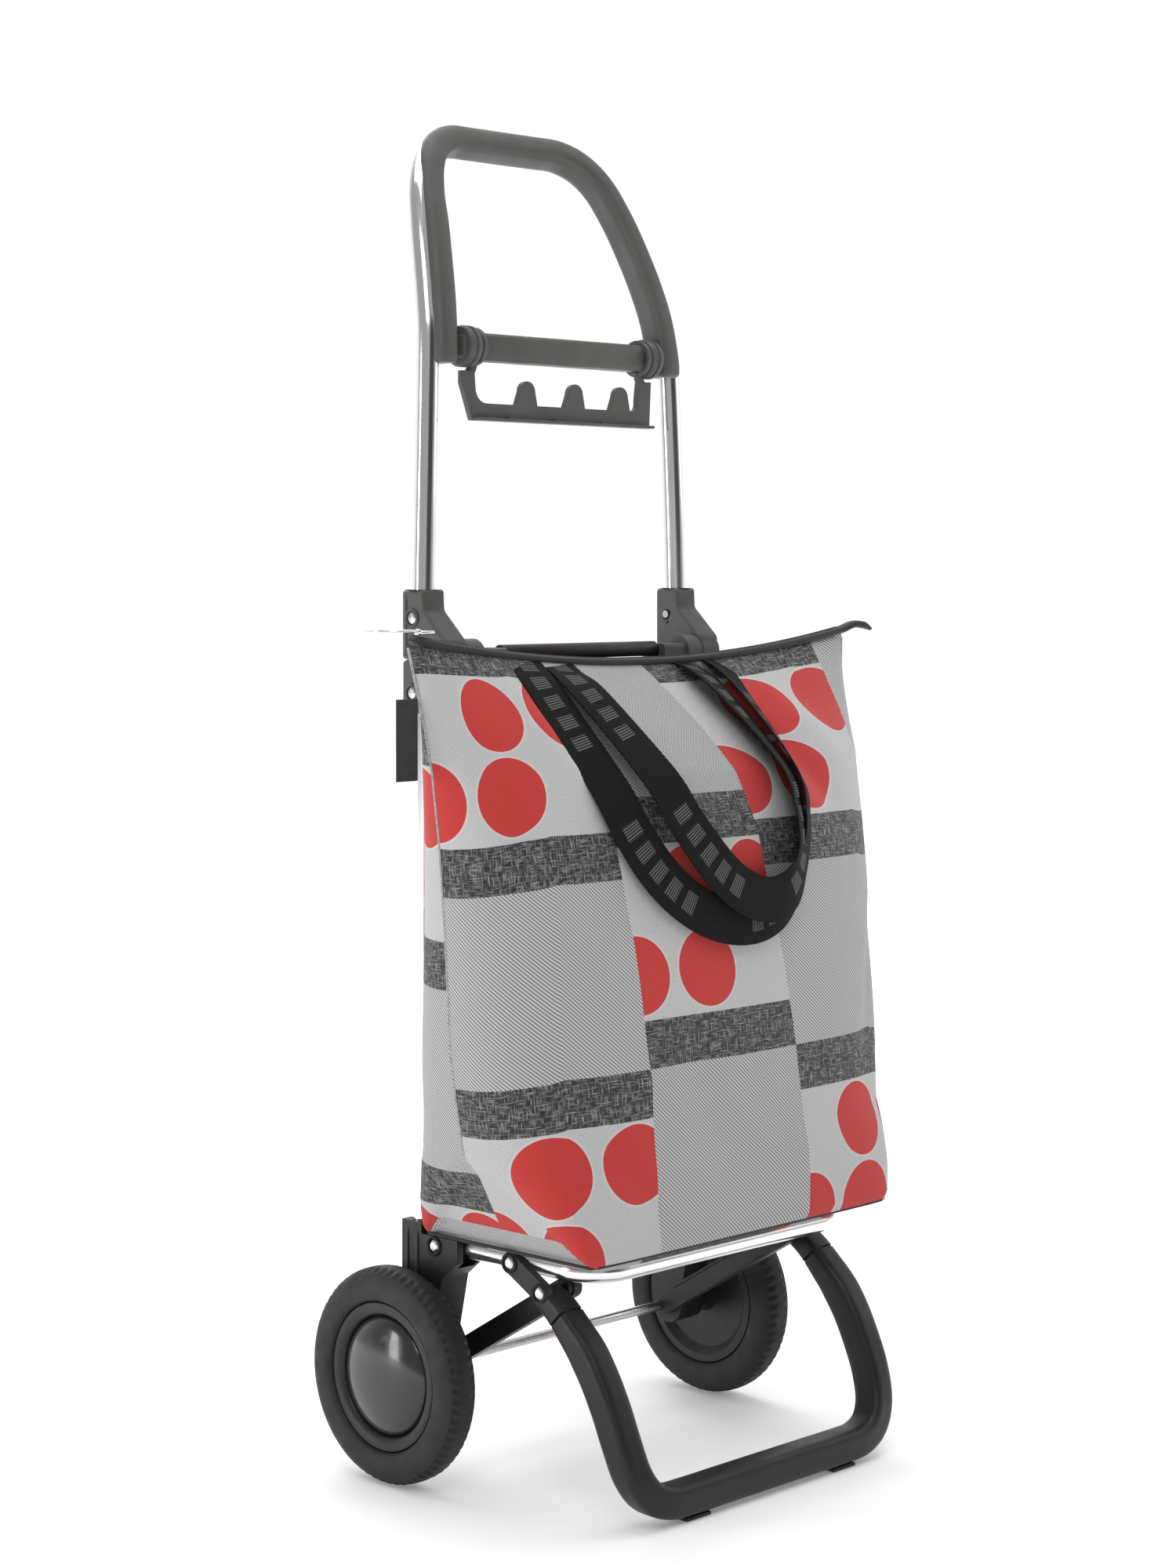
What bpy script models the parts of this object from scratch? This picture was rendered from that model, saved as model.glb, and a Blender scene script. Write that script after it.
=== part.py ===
"""Two-wheeled shopping trolley: a folding aluminium frame that carries a zipped tote bag.

Metres, +Z up, the handle's user stands behind (+Y). Every piece is drawn in the axle frame: x to the
right, y back from the axle, z up from the floor. One empty moves that frame so that the finished
trolley stands over the origin.
"""
import math

import bmesh
import bpy
from mathutils import Matrix, Vector

# ------------------------------------------------------------------ driving dimensions (metres)
AXLE_Y = 0.0748            # the axle lies this far behind the middle of the whole trolley
GAP = 0.0003               # working gap between pieces that touch

WHEEL_R = 0.0825
WHEEL_X = 0.1814           # middle plane of each wheel
TYRE_HALF_W = 0.015
TYRE_SEAT_R = 0.057
HUB_BOSS_HALF = 0.0145
AXLE_R = 0.004
BORE_R = 0.0043            # every hole that the axle goes through

TUBE_R = 0.00875
TUBE_X = 0.1452            # lower uprights
TUBE_Y = 0.0048
SOCKET_X = (0.1333, 0.1570)
BRACKET_X = (0.1292, 0.1575)
STRUT_X = (0.1200, 0.1287)

HINGE_Y = -0.022           # handle fold axis
HINGE_Z = 0.632
HINGE_PIN_R = 0.004
BARREL_R = 0.014
BASE_TOP_Z = 0.6295        # the handle sockets stand on this
SOCKET_TOP_Z = 0.684
BASE_RIVET_Z = 0.604
BASE_RIVET_R = 0.0025
SOCKET_RIVET_Z = 0.662
SOCKET_RIVET_R = 0.003
CROSSBAR_Z = 0.875
CROSSBAR_Y = 0.002
COLLAR_R = 0.0165
RACK_AXIS_Z = 0.8545
RACK_TOP_Z = 0.8560

TRAY_TUBE_R = 0.008
TRAY_X = 0.1422
TRAY_Z = 0.180
TRAY_FRONT_Y = -0.178
TRAY_CORNER_R = 0.030
PIN_A = (-0.0207, 0.180)   # tray on the brackets, (y, z)
PIN_B = (-0.1027, 0.180)   # foot on the tray
PIN_C = (-0.1345, 0.1625)  # struts on the foot
PIN_D = (0.0, WHEEL_R)     # struts on the axle
PIN_R = 0.003
PIN_HOLE_R = 0.0033

FOOT_X = 0.1454
FOOT_HALF_W = 0.0121
FOOT_BAR_Z = 0.0155
PAD_X = 0.0845

BAG_BOTTOM_Z = 0.1888
BAG_Y = -0.103
ZIP_HALF = 0.250           # half length of the closed zip
ZIP_MIDDLE_Z = 0.624
ZIP_END_Z = 0.646
ZIP_Y = -0.090
ZIP_TAPE_R = 0.0036
ZIP_TOP = 0.0074            # top of the zip tape above the zip line
SOFT_END_X = 0.283         # reach of the zip's tail, and of the puller ring on the other side

GREY = (0.095, 0.095, 0.090)
BLACK = (0.030, 0.030, 0.029)


# ------------------------------------------------------------------ scene and materials
def clear_scene():
    for obj in list(bpy.data.objects):
        bpy.data.objects.remove(obj, do_unlink=True)


def new_collection(name):
    coll = bpy.data.collections.new(name)
    bpy.context.scene.collection.children.link(coll)
    return coll


def material(name, colour, roughness, metallic=0.0):
    mat = bpy.data.materials.get(name)
    if mat is None:
        mat = bpy.data.materials.new(name)
        mat.use_nodes = True
        shader = mat.node_tree.nodes["Principled BSDF"]
        shader.inputs["Base Color"].default_value = (*colour, 1.0)
        shader.inputs["Roughness"].default_value = roughness
        shader.inputs["Metallic"].default_value = metallic
    return mat


clear_scene()
PARTS = new_collection("shopping_trolley")
CUTTERS = new_collection("cutters")
BASE = bpy.data.objects.new("axle_frame", None)
BASE.location = (0.0, AXLE_Y, 0.0)
PARTS.objects.link(BASE)


def add(name, data, mat):
    obj = bpy.data.objects.new(name, data)
    PARTS.objects.link(obj)
    obj.parent = BASE
    if mat is not None:
        data.materials.append(mat)
    return obj


def set_origin(obj, point):
    """Puts a mesh object's origin on its joint's axis without moving its shape."""
    obj.data.transform(Matrix.Translation(-Vector(point)))
    obj.location = point
    return obj


def smooth(obj, angle=0.6):
    obj.data.shade_smooth()
    obj.data.set_sharp_from_angle(angle=angle)
    return obj


def bevel(obj, width, segments=2):
    mod = obj.modifiers.new("rounding", "BEVEL")
    mod.width = width
    mod.segments = segments
    mod.limit_method = "ANGLE"
    return obj


# ------------------------------------------------------------------ basic shapes
def box(name, lo, hi, mat, rounding=0.0):
    mesh = bpy.data.meshes.new(name)
    bm = bmesh.new()
    bmesh.ops.create_cube(bm, size=1.0)
    size = [hi[i] - lo[i] for i in range(3)]
    middle = [(hi[i] + lo[i]) / 2 for i in range(3)]
    bmesh.ops.scale(bm, vec=size, verts=bm.verts)
    bmesh.ops.translate(bm, vec=middle, verts=bm.verts)
    bm.to_mesh(mesh)
    bm.free()
    obj = add(name, mesh, mat)
    if rounding:
        bevel(obj, rounding)
    return obj


def cylinder_x(name, radius, x_range, centre, mat, sides=24):
    """A cylinder along X, between two x values, centred on (y, z)."""
    mesh = bpy.data.meshes.new(name)
    bm = bmesh.new()
    length = x_range[1] - x_range[0]
    bmesh.ops.create_cone(bm, cap_ends=True, segments=sides, radius1=radius, radius2=radius, depth=length)
    bmesh.ops.rotate(bm, matrix=Matrix.Rotation(math.radians(90), 3, "Y"), verts=bm.verts)
    bmesh.ops.translate(bm, vec=(sum(x_range) / 2, *centre), verts=bm.verts)
    bm.to_mesh(mesh)
    bm.free()
    return smooth(add(name, mesh, mat))


def turned_x(name, profile, centre, side, mat, steps=32, flat_down=False):
    """A shape turned about an axis along X. profile is (radius, distance outward) down its outer side.

    flat_down turns the shape by half a step, so that it stands on one of its flats and not on a corner.
    """
    closed = profile[0][0] > 0.0
    half_step = math.tan(math.pi / steps) if flat_down else 0.0
    mesh = bpy.data.meshes.new(name)
    edges = [(i, i + 1) for i in range(len(profile) - 1)]
    if closed:
        edges.append((len(profile) - 1, 0))
    mesh.from_pydata([(r, r * half_step, h) for r, h in profile], edges, [])
    obj = add(name, mesh, mat)
    screw = obj.modifiers.new("turn", "SCREW")
    screw.steps = steps
    screw.render_steps = steps
    screw.use_merge_vertices = True
    screw.merge_threshold = 0.00001
    obj.location = centre
    obj.rotation_euler = (0.0, math.radians(90 * side), 0.0)
    return obj


def curve_object(name, points, mat, cyclic=False, dimensions="3D"):
    data = bpy.data.curves.new(name, "CURVE")
    data.dimensions = dimensions
    spline = data.splines.new("POLY")
    spline.points.add(len(points) - 1)
    for point, co in zip(spline.points, points):
        point.co = (*co, 0.0)[:3] + (1.0,)
    spline.use_cyclic_u = cyclic
    return add(name, data, mat)


def to_mesh(curve_obj):
    """Replaces a curve object by the closed mesh that it makes."""
    graph = bpy.context.evaluated_depsgraph_get()
    mesh = bpy.data.meshes.new_from_object(curve_obj.evaluated_get(graph))
    bm = bmesh.new()
    bm.from_mesh(mesh)
    bmesh.ops.remove_doubles(bm, verts=bm.verts, dist=0.00001)
    bm.to_mesh(mesh)
    bm.free()
    name = curve_obj.name
    world = curve_obj.matrix_world.copy()
    bpy.data.objects.remove(curve_obj, do_unlink=True)
    obj = add(name, mesh, None)
    bpy.context.view_layer.update()
    obj.matrix_world = world
    return obj


def bar(name, points, radius, mat, resolution=3):
    obj = curve_object(name, points, mat)
    obj.data.bevel_depth = radius
    obj.data.bevel_resolution = resolution
    obj.data.use_fill_caps = True
    bpy.context.view_layer.update()
    return smooth(to_mesh(obj))


def plate(name, outline, x_range, mat):
    """A flat piece: an outline of (y, z) points, extruded along X between two x values."""
    obj = curve_object(name, outline, mat, cyclic=True, dimensions="2D")
    obj.data.fill_mode = "BOTH"
    obj.data.extrude = (x_range[1] - x_range[0]) / 2
    obj.rotation_euler = (math.radians(90), 0.0, math.radians(90))
    obj.location = (sum(x_range) / 2, 0.0, 0.0)
    bpy.context.view_layer.update()
    made = to_mesh(obj)
    bake_transform(made)
    return made


def bake_transform(obj):
    obj.data.transform(obj.matrix_basis)
    obj.matrix_basis = Matrix.Identity(4)


def front_plate(name, outline, y_range, mat):
    """A flat piece: an outline of (x, z) points, extruded along Y between two y values."""
    obj = curve_object(name, outline, mat, cyclic=True, dimensions="2D")
    obj.data.fill_mode = "BOTH"
    obj.data.extrude = (y_range[1] - y_range[0]) / 2
    obj.rotation_euler = (math.radians(90), 0.0, 0.0)
    obj.location = (0.0, sum(y_range) / 2, 0.0)
    bpy.context.view_layer.update()
    made = to_mesh(obj)
    bake_transform(made)
    return made


def arc(centre, radius, start, end, steps=8):
    """Points on a circle in a flat outline, between two angles in degrees."""
    turn = [math.radians(start + (end - start) * i / steps) for i in range(steps + 1)]
    return [(centre[0] + radius * math.cos(a), centre[1] + radius * math.sin(a)) for a in turn]


def slot_outline(start, end, radius, steps=8):
    """Outline of a straight link with round ends about two (y, z) points."""
    angle = math.degrees(math.atan2(end[1] - start[1], end[0] - start[0]))
    far = arc(end, radius, angle - 90, angle + 90, steps)
    near = arc(start, radius, angle + 90, angle + 270, steps)
    return far + near


def smooth_path(points, per_span=4):
    """Points on a Catmull-Rom curve through the given ones."""
    pts = [Vector(p) for p in points]
    padded = [2 * pts[0] - pts[1]] + pts + [2 * pts[-1] - pts[-2]]
    path = []
    for i in range(1, len(padded) - 2):
        a, b, c, d = padded[i - 1:i + 3]
        for k in range(per_span):
            t = k / per_span
            path.append(0.5 * (2 * b + (c - a) * t + (2 * a - 5 * b + 4 * c - d) * t ** 2
                               + (3 * b - a - 3 * c + d) * t ** 3))
    path.append(pts[-1])
    return path


def rounded_section(half_u, half_v, corner=4.0, sides=12):
    """A rounded rectangle: a superellipse of the given power."""
    out = []
    for i in range(sides):
        angle = 2 * math.pi * (i + 0.5) / sides
        c = math.cos(angle)
        s = math.sin(angle)
        scale = (abs(c) ** corner + abs(s) ** corner) ** (-1 / corner)
        out.append((half_u * c * scale, half_v * s * scale))
    return out


def strip_cap(bm, row):
    """Closes a symmetric ring that starts at its right end with a strip from end to end."""
    count = len(row)
    bm.faces.new((row[0], row[1], row[-1]))
    for i in range(1, count // 2 - 1):
        bm.faces.new((row[i], row[i + 1], row[count - i - 1], row[count - i]))
    half = count // 2
    bm.faces.new((row[half - 1], row[half], row[half + 1]))


def loft(name, rings, mat, strip_end=False):
    """A closed solid through rings of equally many points."""
    mesh = bpy.data.meshes.new(name)
    bm = bmesh.new()
    rows = [[bm.verts.new(p) for p in ring] for ring in rings]
    count = len(rings[0])
    for lower, upper in zip(rows, rows[1:]):
        for i in range(count):
            j = (i + 1) % count
            bm.faces.new((lower[i], lower[j], upper[j], upper[i]))
    bm.faces.new(list(reversed(rows[0])))
    if strip_end:
        strip_cap(bm, rows[-1])
    else:
        bm.faces.new(rows[-1])
    bmesh.ops.recalc_face_normals(bm, faces=bm.faces)
    bm.to_mesh(mesh)
    bm.free()
    return smooth(add(name, mesh, mat))


def swept(name, path, flats, half_u, half_v, mat, corner=4.0, sides=12):
    """A loft along a path. flats gives the direction of the section's second axis at each point."""
    rings = []
    for i, centre in enumerate(path):
        ahead = path[min(i + 1, len(path) - 1)]
        behind = path[max(i - 1, 0)]
        along = (ahead - behind).normalized()
        flat = flats[i] if isinstance(flats, list) else flats
        across = along.cross(Vector(flat)).normalized()
        second = across.cross(along).normalized()
        u_size = half_u[i] if isinstance(half_u, list) else half_u
        v_size = half_v[i] if isinstance(half_v, list) else half_v
        section = rounded_section(u_size, v_size, corner, sides)
        rings.append([centre + across * u + second * v for u, v in section])
    return loft(name, rings, mat)


def cutter(obj):
    PARTS.objects.unlink(obj)
    CUTTERS.objects.link(obj)
    obj.hide_render = True
    obj.display_type = "WIRE"
    return obj


def cut(obj, *tools, operation="DIFFERENCE"):
    for tool in tools:
        mod = obj.modifiers.new(tool.name, "BOOLEAN")
        mod.operation = operation
        mod.solver = "EXACT"
        mod.object = tool
    return obj


def join(obj, *others):
    for other in others:
        cutter(other)
    return cut(obj, *others, operation="UNION")


def mirrored(points):
    """The points of a left-right path: the given right half, and its mirror image before it."""
    left = [(-x, y, z) for x, y, z in points]
    middle = 1 if abs(points[-1][0]) < 1e-9 else 0
    return left[:len(left) - middle] + list(reversed(points))


def on_side(side, x_range):
    """An x range given for the right side, taken to the side asked for (+1 or -1)."""
    return tuple(sorted((side * x_range[0], side * x_range[1])))


SIDES = (("left", -1), ("right", 1))
GREY_PLASTIC = material("grey_plastic", GREY, 0.45)
BLACK_PLASTIC = material("black_plastic", BLACK, 0.5)
ALUMINIUM = material("polished_aluminium", (0.80, 0.80, 0.81), 0.2, 1.0)
STEEL = material("bright_steel", (0.55, 0.55, 0.56), 0.3, 1.0)
RUBBER = material("tyre_rubber", (0.035, 0.035, 0.036), 0.75)
GLOSS_BLACK = material("gloss_black", (0.04, 0.04, 0.042), 0.15)
FABRIC = material("bag_fabric", (0.45, 0.45, 0.45), 0.9)
WEBBING = material("black_webbing", (0.01, 0.01, 0.01), 0.85)

PIN_CUTS = {name: cutter(cylinder_x(f"cut_pin_{name}", PIN_HOLE_R, (-0.18, 0.18), centre, None))
            for name, centre in (("a", PIN_A), ("b", PIN_B), ("c", PIN_C))}
AXLE_CUT = cutter(cylinder_x("cut_axle", BORE_R, (-0.22, 0.22), PIN_D, None))
HINGE_CUT = cutter(cylinder_x("cut_hinge", HINGE_PIN_R + GAP, (-0.18, 0.18), (HINGE_Y, HINGE_Z), None))



def rivet_cutter(name, radius, z):
    return cutter(cylinder_x(f"cut_{name}_rivet", radius + GAP, (-0.17, 0.17), (TUBE_Y, z), None, 16))


RIVET_CUTS = {"base": rivet_cutter("base", BASE_RIVET_R, BASE_RIVET_Z),
              "socket": rivet_cutter("socket", SOCKET_RIVET_R, SOCKET_RIVET_Z)}


# ------------------------------------------------------------------ lower frame
def lower_tube(label, side):
    tube_bottom = 0.104
    tube_top = 0.622
    wall = 0.0012
    inner = TUBE_R - wall
    profile = [(TUBE_R, tube_top), (TUBE_R, tube_bottom), (inner, tube_bottom), (inner, tube_top)]
    obj = turned_x(f"lower_tube_{label}", profile, (side * TUBE_X, TUBE_Y, 0.0), 0, ALUMINIUM, 24)
    return cut(obj, RIVET_CUTS["base"])


def wheel_bracket(label, side):
    top = 0.196
    rear = TUBE_Y + 0.0112
    ear_y = -0.046
    outline = [(rear, top), (rear, 0.110)]
    outline += arc(PIN_D, 0.016, 0, -180)
    outline += [(-0.019, 0.110), (-0.029, 0.156), (ear_y, 0.170), (ear_y, 0.1875)]
    outline += [(-0.006, 0.1875), (-0.006, top)]
    obj = plate(f"wheel_bracket_{label}", outline, on_side(side, BRACKET_X), BLACK_PLASTIC)
    slot_x = on_side(side, (TRAY_X - TRAY_TUBE_R - 0.0008, TRAY_X + TRAY_TUBE_R + 0.0008))
    slot = cutter(box(f"cut_slot_{label}", (slot_x[0], -0.07, 0.1645), (slot_x[1], -0.0095, 0.2), None))
    bore = cutter(upright_bore(f"cut_bracket_bore_{label}", side, 0.1037, 0.21))
    cut(obj, slot, bore, PIN_CUTS["a"], AXLE_CUT)
    return obj


def upright_bore(name, side, z_low, z_high, radius=TUBE_R + GAP):
    mesh = bpy.data.meshes.new(name)
    bm = bmesh.new()
    depth = z_high - z_low
    bmesh.ops.create_cone(bm, cap_ends=True, segments=24, radius1=radius, radius2=radius, depth=depth)
    bmesh.ops.translate(bm, vec=(side * TUBE_X, TUBE_Y, z_low + depth / 2), verts=bm.verts)
    bm.to_mesh(mesh)
    bm.free()
    return add(name, mesh, None)


def hinge_crosspiece():
    """The moulding that joins the two uprights: a tube holder and a hinge cheek each side, and a beam."""
    beam = box("hinge_crosspiece", (-0.120, -0.033, 0.612), (0.120, -0.010, 0.6385), GREY_PLASTIC, 0.003)
    recess = cutter(box("cut_bar_recess", (-0.0905, -0.05, 0.6275), (0.0905, 0.0, 0.66), None))
    cut(beam, recess)
    for label, side in SIDES:
        cheek_outline = [(0.0170, BASE_TOP_Z), (-0.0072, BASE_TOP_Z)]
        cheek_outline += arc((HINGE_Y, HINGE_Z), BARREL_R, 0, 180, 10)
        cheek_outline += [(-0.0360, 0.612), (-0.0065, 0.588), (0.0170, 0.588)]
        cheek = plate(f"cheek_{label}", cheek_outline, on_side(side, (0.1170, 0.1330)), None)
        holder_lo = (on_side(side, (0.1325, 0.1570))[0], -0.0068, 0.588)
        holder_hi = (on_side(side, (0.1325, 0.1570))[1], 0.0170, BASE_TOP_Z)
        holder = box(f"holder_{label}", holder_lo, holder_hi, None, 0.003)
        join(beam, cheek, holder)
    for label, side in SIDES:
        bore = cutter(upright_bore(f"cut_base_bore_{label}", side, 0.58, 0.6223))
        cut(beam, bore)
    cut(beam, HINGE_CUT, RIVET_CUTS["base"])
    return beam


def pin(name, radius, x_range, centre, head=0.0045, head_height=0.0014):
    """A steel pin or rivet along X with a round head outside its outer end."""
    side = 1 if x_range[0] > 0 else -1
    outer = side * max(abs(x_range[0]), abs(x_range[1]))
    length = abs(x_range[1] - x_range[0])
    profile = [(0.0, head_height), (head * 0.7, head_height * 0.85), (head, head_height * 0.3), (head, 0.0),
               (radius, 0.0), (radius, -length), (0.0, -length)]
    return turned_x(name, profile, (outer, *centre), side, STEEL, 16)


def axle_and_bushes():
    """The axle rod, and on each end a spacer inside the wheel and a retaining clip outside it."""
    rod_half = 0.1925
    clip_x = (WHEEL_X + 0.0083, WHEEL_X + 0.0095)
    clip_bore = AXLE_R + 0.0001
    spacer_x = (BRACKET_X[1] + GAP, WHEEL_X - HUB_BOSS_HALF - GAP)
    cylinder_x("axle_rod", AXLE_R, (-rod_half, rod_half), PIN_D, STEEL, 16)
    for label, side in SIDES:
        spacer = ring_profile(0.008, BORE_R, spacer_x)
        turned_x(f"axle_spacer_{label}", spacer, (0.0, *PIN_D), side, BLACK_PLASTIC, 16)
        clip = ring_profile(0.009, clip_bore, clip_x)
        turned_x(f"axle_clip_{label}", clip, (0.0, *PIN_D), side, STEEL, 16)


def ring_profile(outer, bore, x_range):
    return [(outer, x_range[1]), (outer, x_range[0]), (bore, x_range[0]), (bore, x_range[1])]


def release_bar():
    outline = arc((-0.0215, 0.6345), 0.0062, 0, 360, 15)[:-1]
    obj = plate("release_bar", outline, (-0.089, 0.089), BLACK_PLASTIC)
    smooth(bevel(obj, 0.0025))
    return obj


# ------------------------------------------------------------------ wheels
def wheel(label, side):
    centre = (side * WHEEL_X, *PIN_D)
    w = TYRE_HALF_W
    tyre = [(0.0700, w), (0.0785, w - 0.002), (0.0815, w - 0.005), (WHEEL_R, w - 0.009),
            (WHEEL_R, -w + 0.009), (0.0815, -w + 0.005), (0.0785, -w + 0.002), (0.0700, -w),
            (0.0600, -w + 0.0005), (TYRE_SEAT_R, -w + 0.003), (TYRE_SEAT_R, w - 0.003), (0.0600, w - 0.0005)]
    seat = TYRE_SEAT_R - GAP
    hub = [(0.0465, 0.0125), (seat, 0.0120), (seat, -0.0120), (0.0500, -0.0125), (0.0440, -0.0060),
           (0.0140, -0.0060), (0.0120, -HUB_BOSS_HALF), (BORE_R, -HUB_BOSS_HALF), (BORE_R, 0.0080),
           (0.0130, 0.0080), (0.0140, 0.0020), (0.0458, 0.0020)]
    cap = [(0.0, 0.0190), (0.0200, 0.0174), (0.0350, 0.0132), (0.0452, 0.0060), (0.0452, 0.0026),
           (0.0420, 0.0026), (0.0330, 0.0108), (0.0180, 0.0152), (0.0, 0.0166)]
    turned_x(f"tyre_{label}", tyre, centre, side, RUBBER, 36, flat_down=True)
    turned_x(f"wheel_hub_{label}", hub, centre, side, BLACK_PLASTIC, 24)
    turned_x(f"hub_cap_{label}", cap, centre, side, GLOSS_BLACK, 24)


# ------------------------------------------------------------------ handle
# right half of the handle tube's centre line, from its socket to the top
HANDLE_HALF = [(TUBE_X, TUBE_Y, 0.6565), (0.1446, 0.0049, 0.690), (0.1420, 0.0055, 0.775),
               (0.1380, 0.0075, 0.875), (0.1350, 0.0125, 0.908), (0.1300, 0.0215, 0.940),
               (0.1230, 0.0330, 0.975),
               (0.1150, 0.0435, 1.003), (0.1020, 0.0540, 1.025), (0.0850, 0.0630, 1.0400),
               (0.0630, 0.0690, 1.0480), (0.0350, 0.0705, 1.0490), (0.0, 0.0705, 1.0490)]


def ramp(value, start, end):
    """Goes from 0 at start to 1 at end and stays there."""
    return min(1.0, max(0.0, (value - start) / (end - start)))


def grip_point(point):
    """The grip runs beside the tube: inside it up the legs, and close in front of it along the top."""
    loop_centre_z = 0.900
    x, _, z = point
    inward = Vector((-x, 0.0, loop_centre_z - z)).normalized()
    direction = Vector((-1.0, 0.0, 0.0)).lerp(inward, ramp(z, 0.95, 1.00)).normalized()
    reach = 0.0100 - 0.0080 * ramp(z, 1.0, 1.045)
    return Vector(point) + direction * reach + Vector((0.0, -0.0035, 0.0))


def handle_loop():
    path = smooth_path(mirrored(HANDLE_HALF), 2)
    return cut(bar("handle_tube", path, TUBE_R, ALUMINIUM, 3), RIVET_CUTS["socket"])


def handle_grip():
    grip_start = 3
    half = [tuple(grip_point(p)) for p in HANDLE_HALF[grip_start:]]
    half = [(half[0][0], half[0][1] - 0.0005, 0.861)] + half
    path = smooth_path(mirrored(half), 2)
    flats = []
    for p in path:
        flats.append(Vector((0.0, -1.0, 0.55 * ramp(p.z, 0.88, 1.04))).normalized())
    obj = swept("handle_grip", path, flats, 0.0118, 0.0125, GREY_PLASTIC, 3.2, 12)
    fat_tube = cutter(bar("cut_grip_tube", smooth_path(mirrored(HANDLE_HALF), 2), TUBE_R + 0.0005, None, 3))
    return cut(obj, fat_tube)


def handle_socket(label, side):
    """Upper half of the fold joint: a socket for the tube over a barrel on the hinge pin."""
    rear = 0.0170
    outline = [(rear, BASE_TOP_Z + GAP), (rear, SOCKET_TOP_Z), (-0.0072, SOCKET_TOP_Z), (-0.0080, 0.668),
               (-0.0330, 0.6440)]
    outline += arc((HINGE_Y, HINGE_Z), BARREL_R, 142, 345, 10)
    outline += [(-0.0078, BASE_TOP_Z + GAP)]
    obj = plate(f"handle_socket_{label}", outline, on_side(side, SOCKET_X), GREY_PLASTIC)
    bore = cutter(upright_bore(f"cut_socket_bore_{label}", side, 0.6562, 0.70, TUBE_R + 0.0006))
    return cut(obj, bore, RIVET_CUTS["socket"], HINGE_CUT)


def crossbar():
    half_h = 0.011
    half_end = 0.1125
    obj = box("crossbar", (-half_end, CROSSBAR_Y - 0.010, CROSSBAR_Z - half_h),
              (half_end, CROSSBAR_Y + 0.010, CROSSBAR_Z + half_h), GREY_PLASTIC, 0.004)
    for label, side in SIDES:
        ring = cylinder_x(f"crossbar_collar_{label}", COLLAR_R, on_side(side, (0.0975, 0.1115)),
                          (CROSSBAR_Y, CROSSBAR_Z), GREY_PLASTIC, 28)
        hole = cutter(box(f"cut_collar_{label}", (-0.13, CROSSBAR_Y - 0.010 - GAP, CROSSBAR_Z - half_h - GAP),
                          (0.13, CROSSBAR_Y + 0.010 + GAP, CROSSBAR_Z + half_h + GAP), None, 0.0035))
        cut(ring, hole)
    return obj


def hook_rack():
    """Hanging rack: two flat arms, a trough between them and three rounded hooks."""
    arm_x = 0.1000
    low = 0.8170
    rim = 0.8310
    outline = [(-arm_x - 0.009, RACK_TOP_Z), (-arm_x - 0.009, 0.846), (-arm_x + 0.002, low),
               (arm_x + 0.007, low), (arm_x + 0.009, RACK_TOP_Z), (arm_x - 0.006, RACK_TOP_Z)]
    outline += [(arm_x - 0.008, 0.840)]
    outline += arc((arm_x - 0.014, rim + 0.006), 0.006, 0, -90, 4)
    for hook_x in (0.0725, 0.0190, -0.0360):
        outline += [(hook_x + 0.011, rim)]
        outline += arc((hook_x, 0.8420), 0.0085, 0, 180, 8)
        outline += [(hook_x - 0.013, rim)]
    outline += arc((-arm_x + 0.018, rim + 0.012), 0.012, -90, -180, 5)
    outline += [(-arm_x + 0.005, RACK_TOP_Z)]
    obj = front_plate("hook_rack", outline, (-0.0005, 0.0045), GREY_PLASTIC)
    ledge = box("rack_ledge", (-arm_x + 0.003, -0.0075, low), (arm_x + 0.006, 0.0035, low + 0.0025), None)
    join(obj, ledge)
    return obj


# ------------------------------------------------------------------ tray, foot and struts
def tray_rail():
    """The U-shaped tube that the bag stands on."""
    corner = (TRAY_X - TRAY_CORNER_R, TRAY_FRONT_Y + TRAY_CORNER_R)
    bend = [(x, y, TRAY_Z) for x, y in arc(corner, TRAY_CORNER_R, 0, -90, 8)]
    half = [(TRAY_X, PIN_A[0] + 0.007, TRAY_Z), (TRAY_X, -0.060, TRAY_Z)] + bend
    obj = bar("tray_rail", mirrored(half), TRAY_TUBE_R, ALUMINIUM, 3)
    return cut(obj, PIN_CUTS["a"], PIN_CUTS["b"])


def tray_strip():
    reach = TRAY_X - TRAY_TUBE_R - GAP
    return box("tray_strip", (-reach, -0.078, TRAY_Z - 0.001), (reach, -0.054, TRAY_Z + 0.0015), ALUMINIUM)


FOOT_HALF = [(FOOT_X, -0.1310, 0.1600), (FOOT_X, -0.1460, 0.1500), (FOOT_X, -0.1600, 0.1365),
             (FOOT_X, -0.1725, 0.1235), (0.1453, -0.1850, 0.1060), (0.1448, -0.1965, 0.0845),
             (0.1440, -0.2060, 0.0620), (0.1400, -0.2130, 0.0400), (0.1290, -0.2170, 0.0240),
             (0.1110, -0.2190, 0.0165), (0.0880, -0.2195, FOOT_BAR_Z), (0.0450, -0.2195, FOOT_BAR_Z),
             (0.0, -0.2195, FOOT_BAR_Z)]


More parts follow.
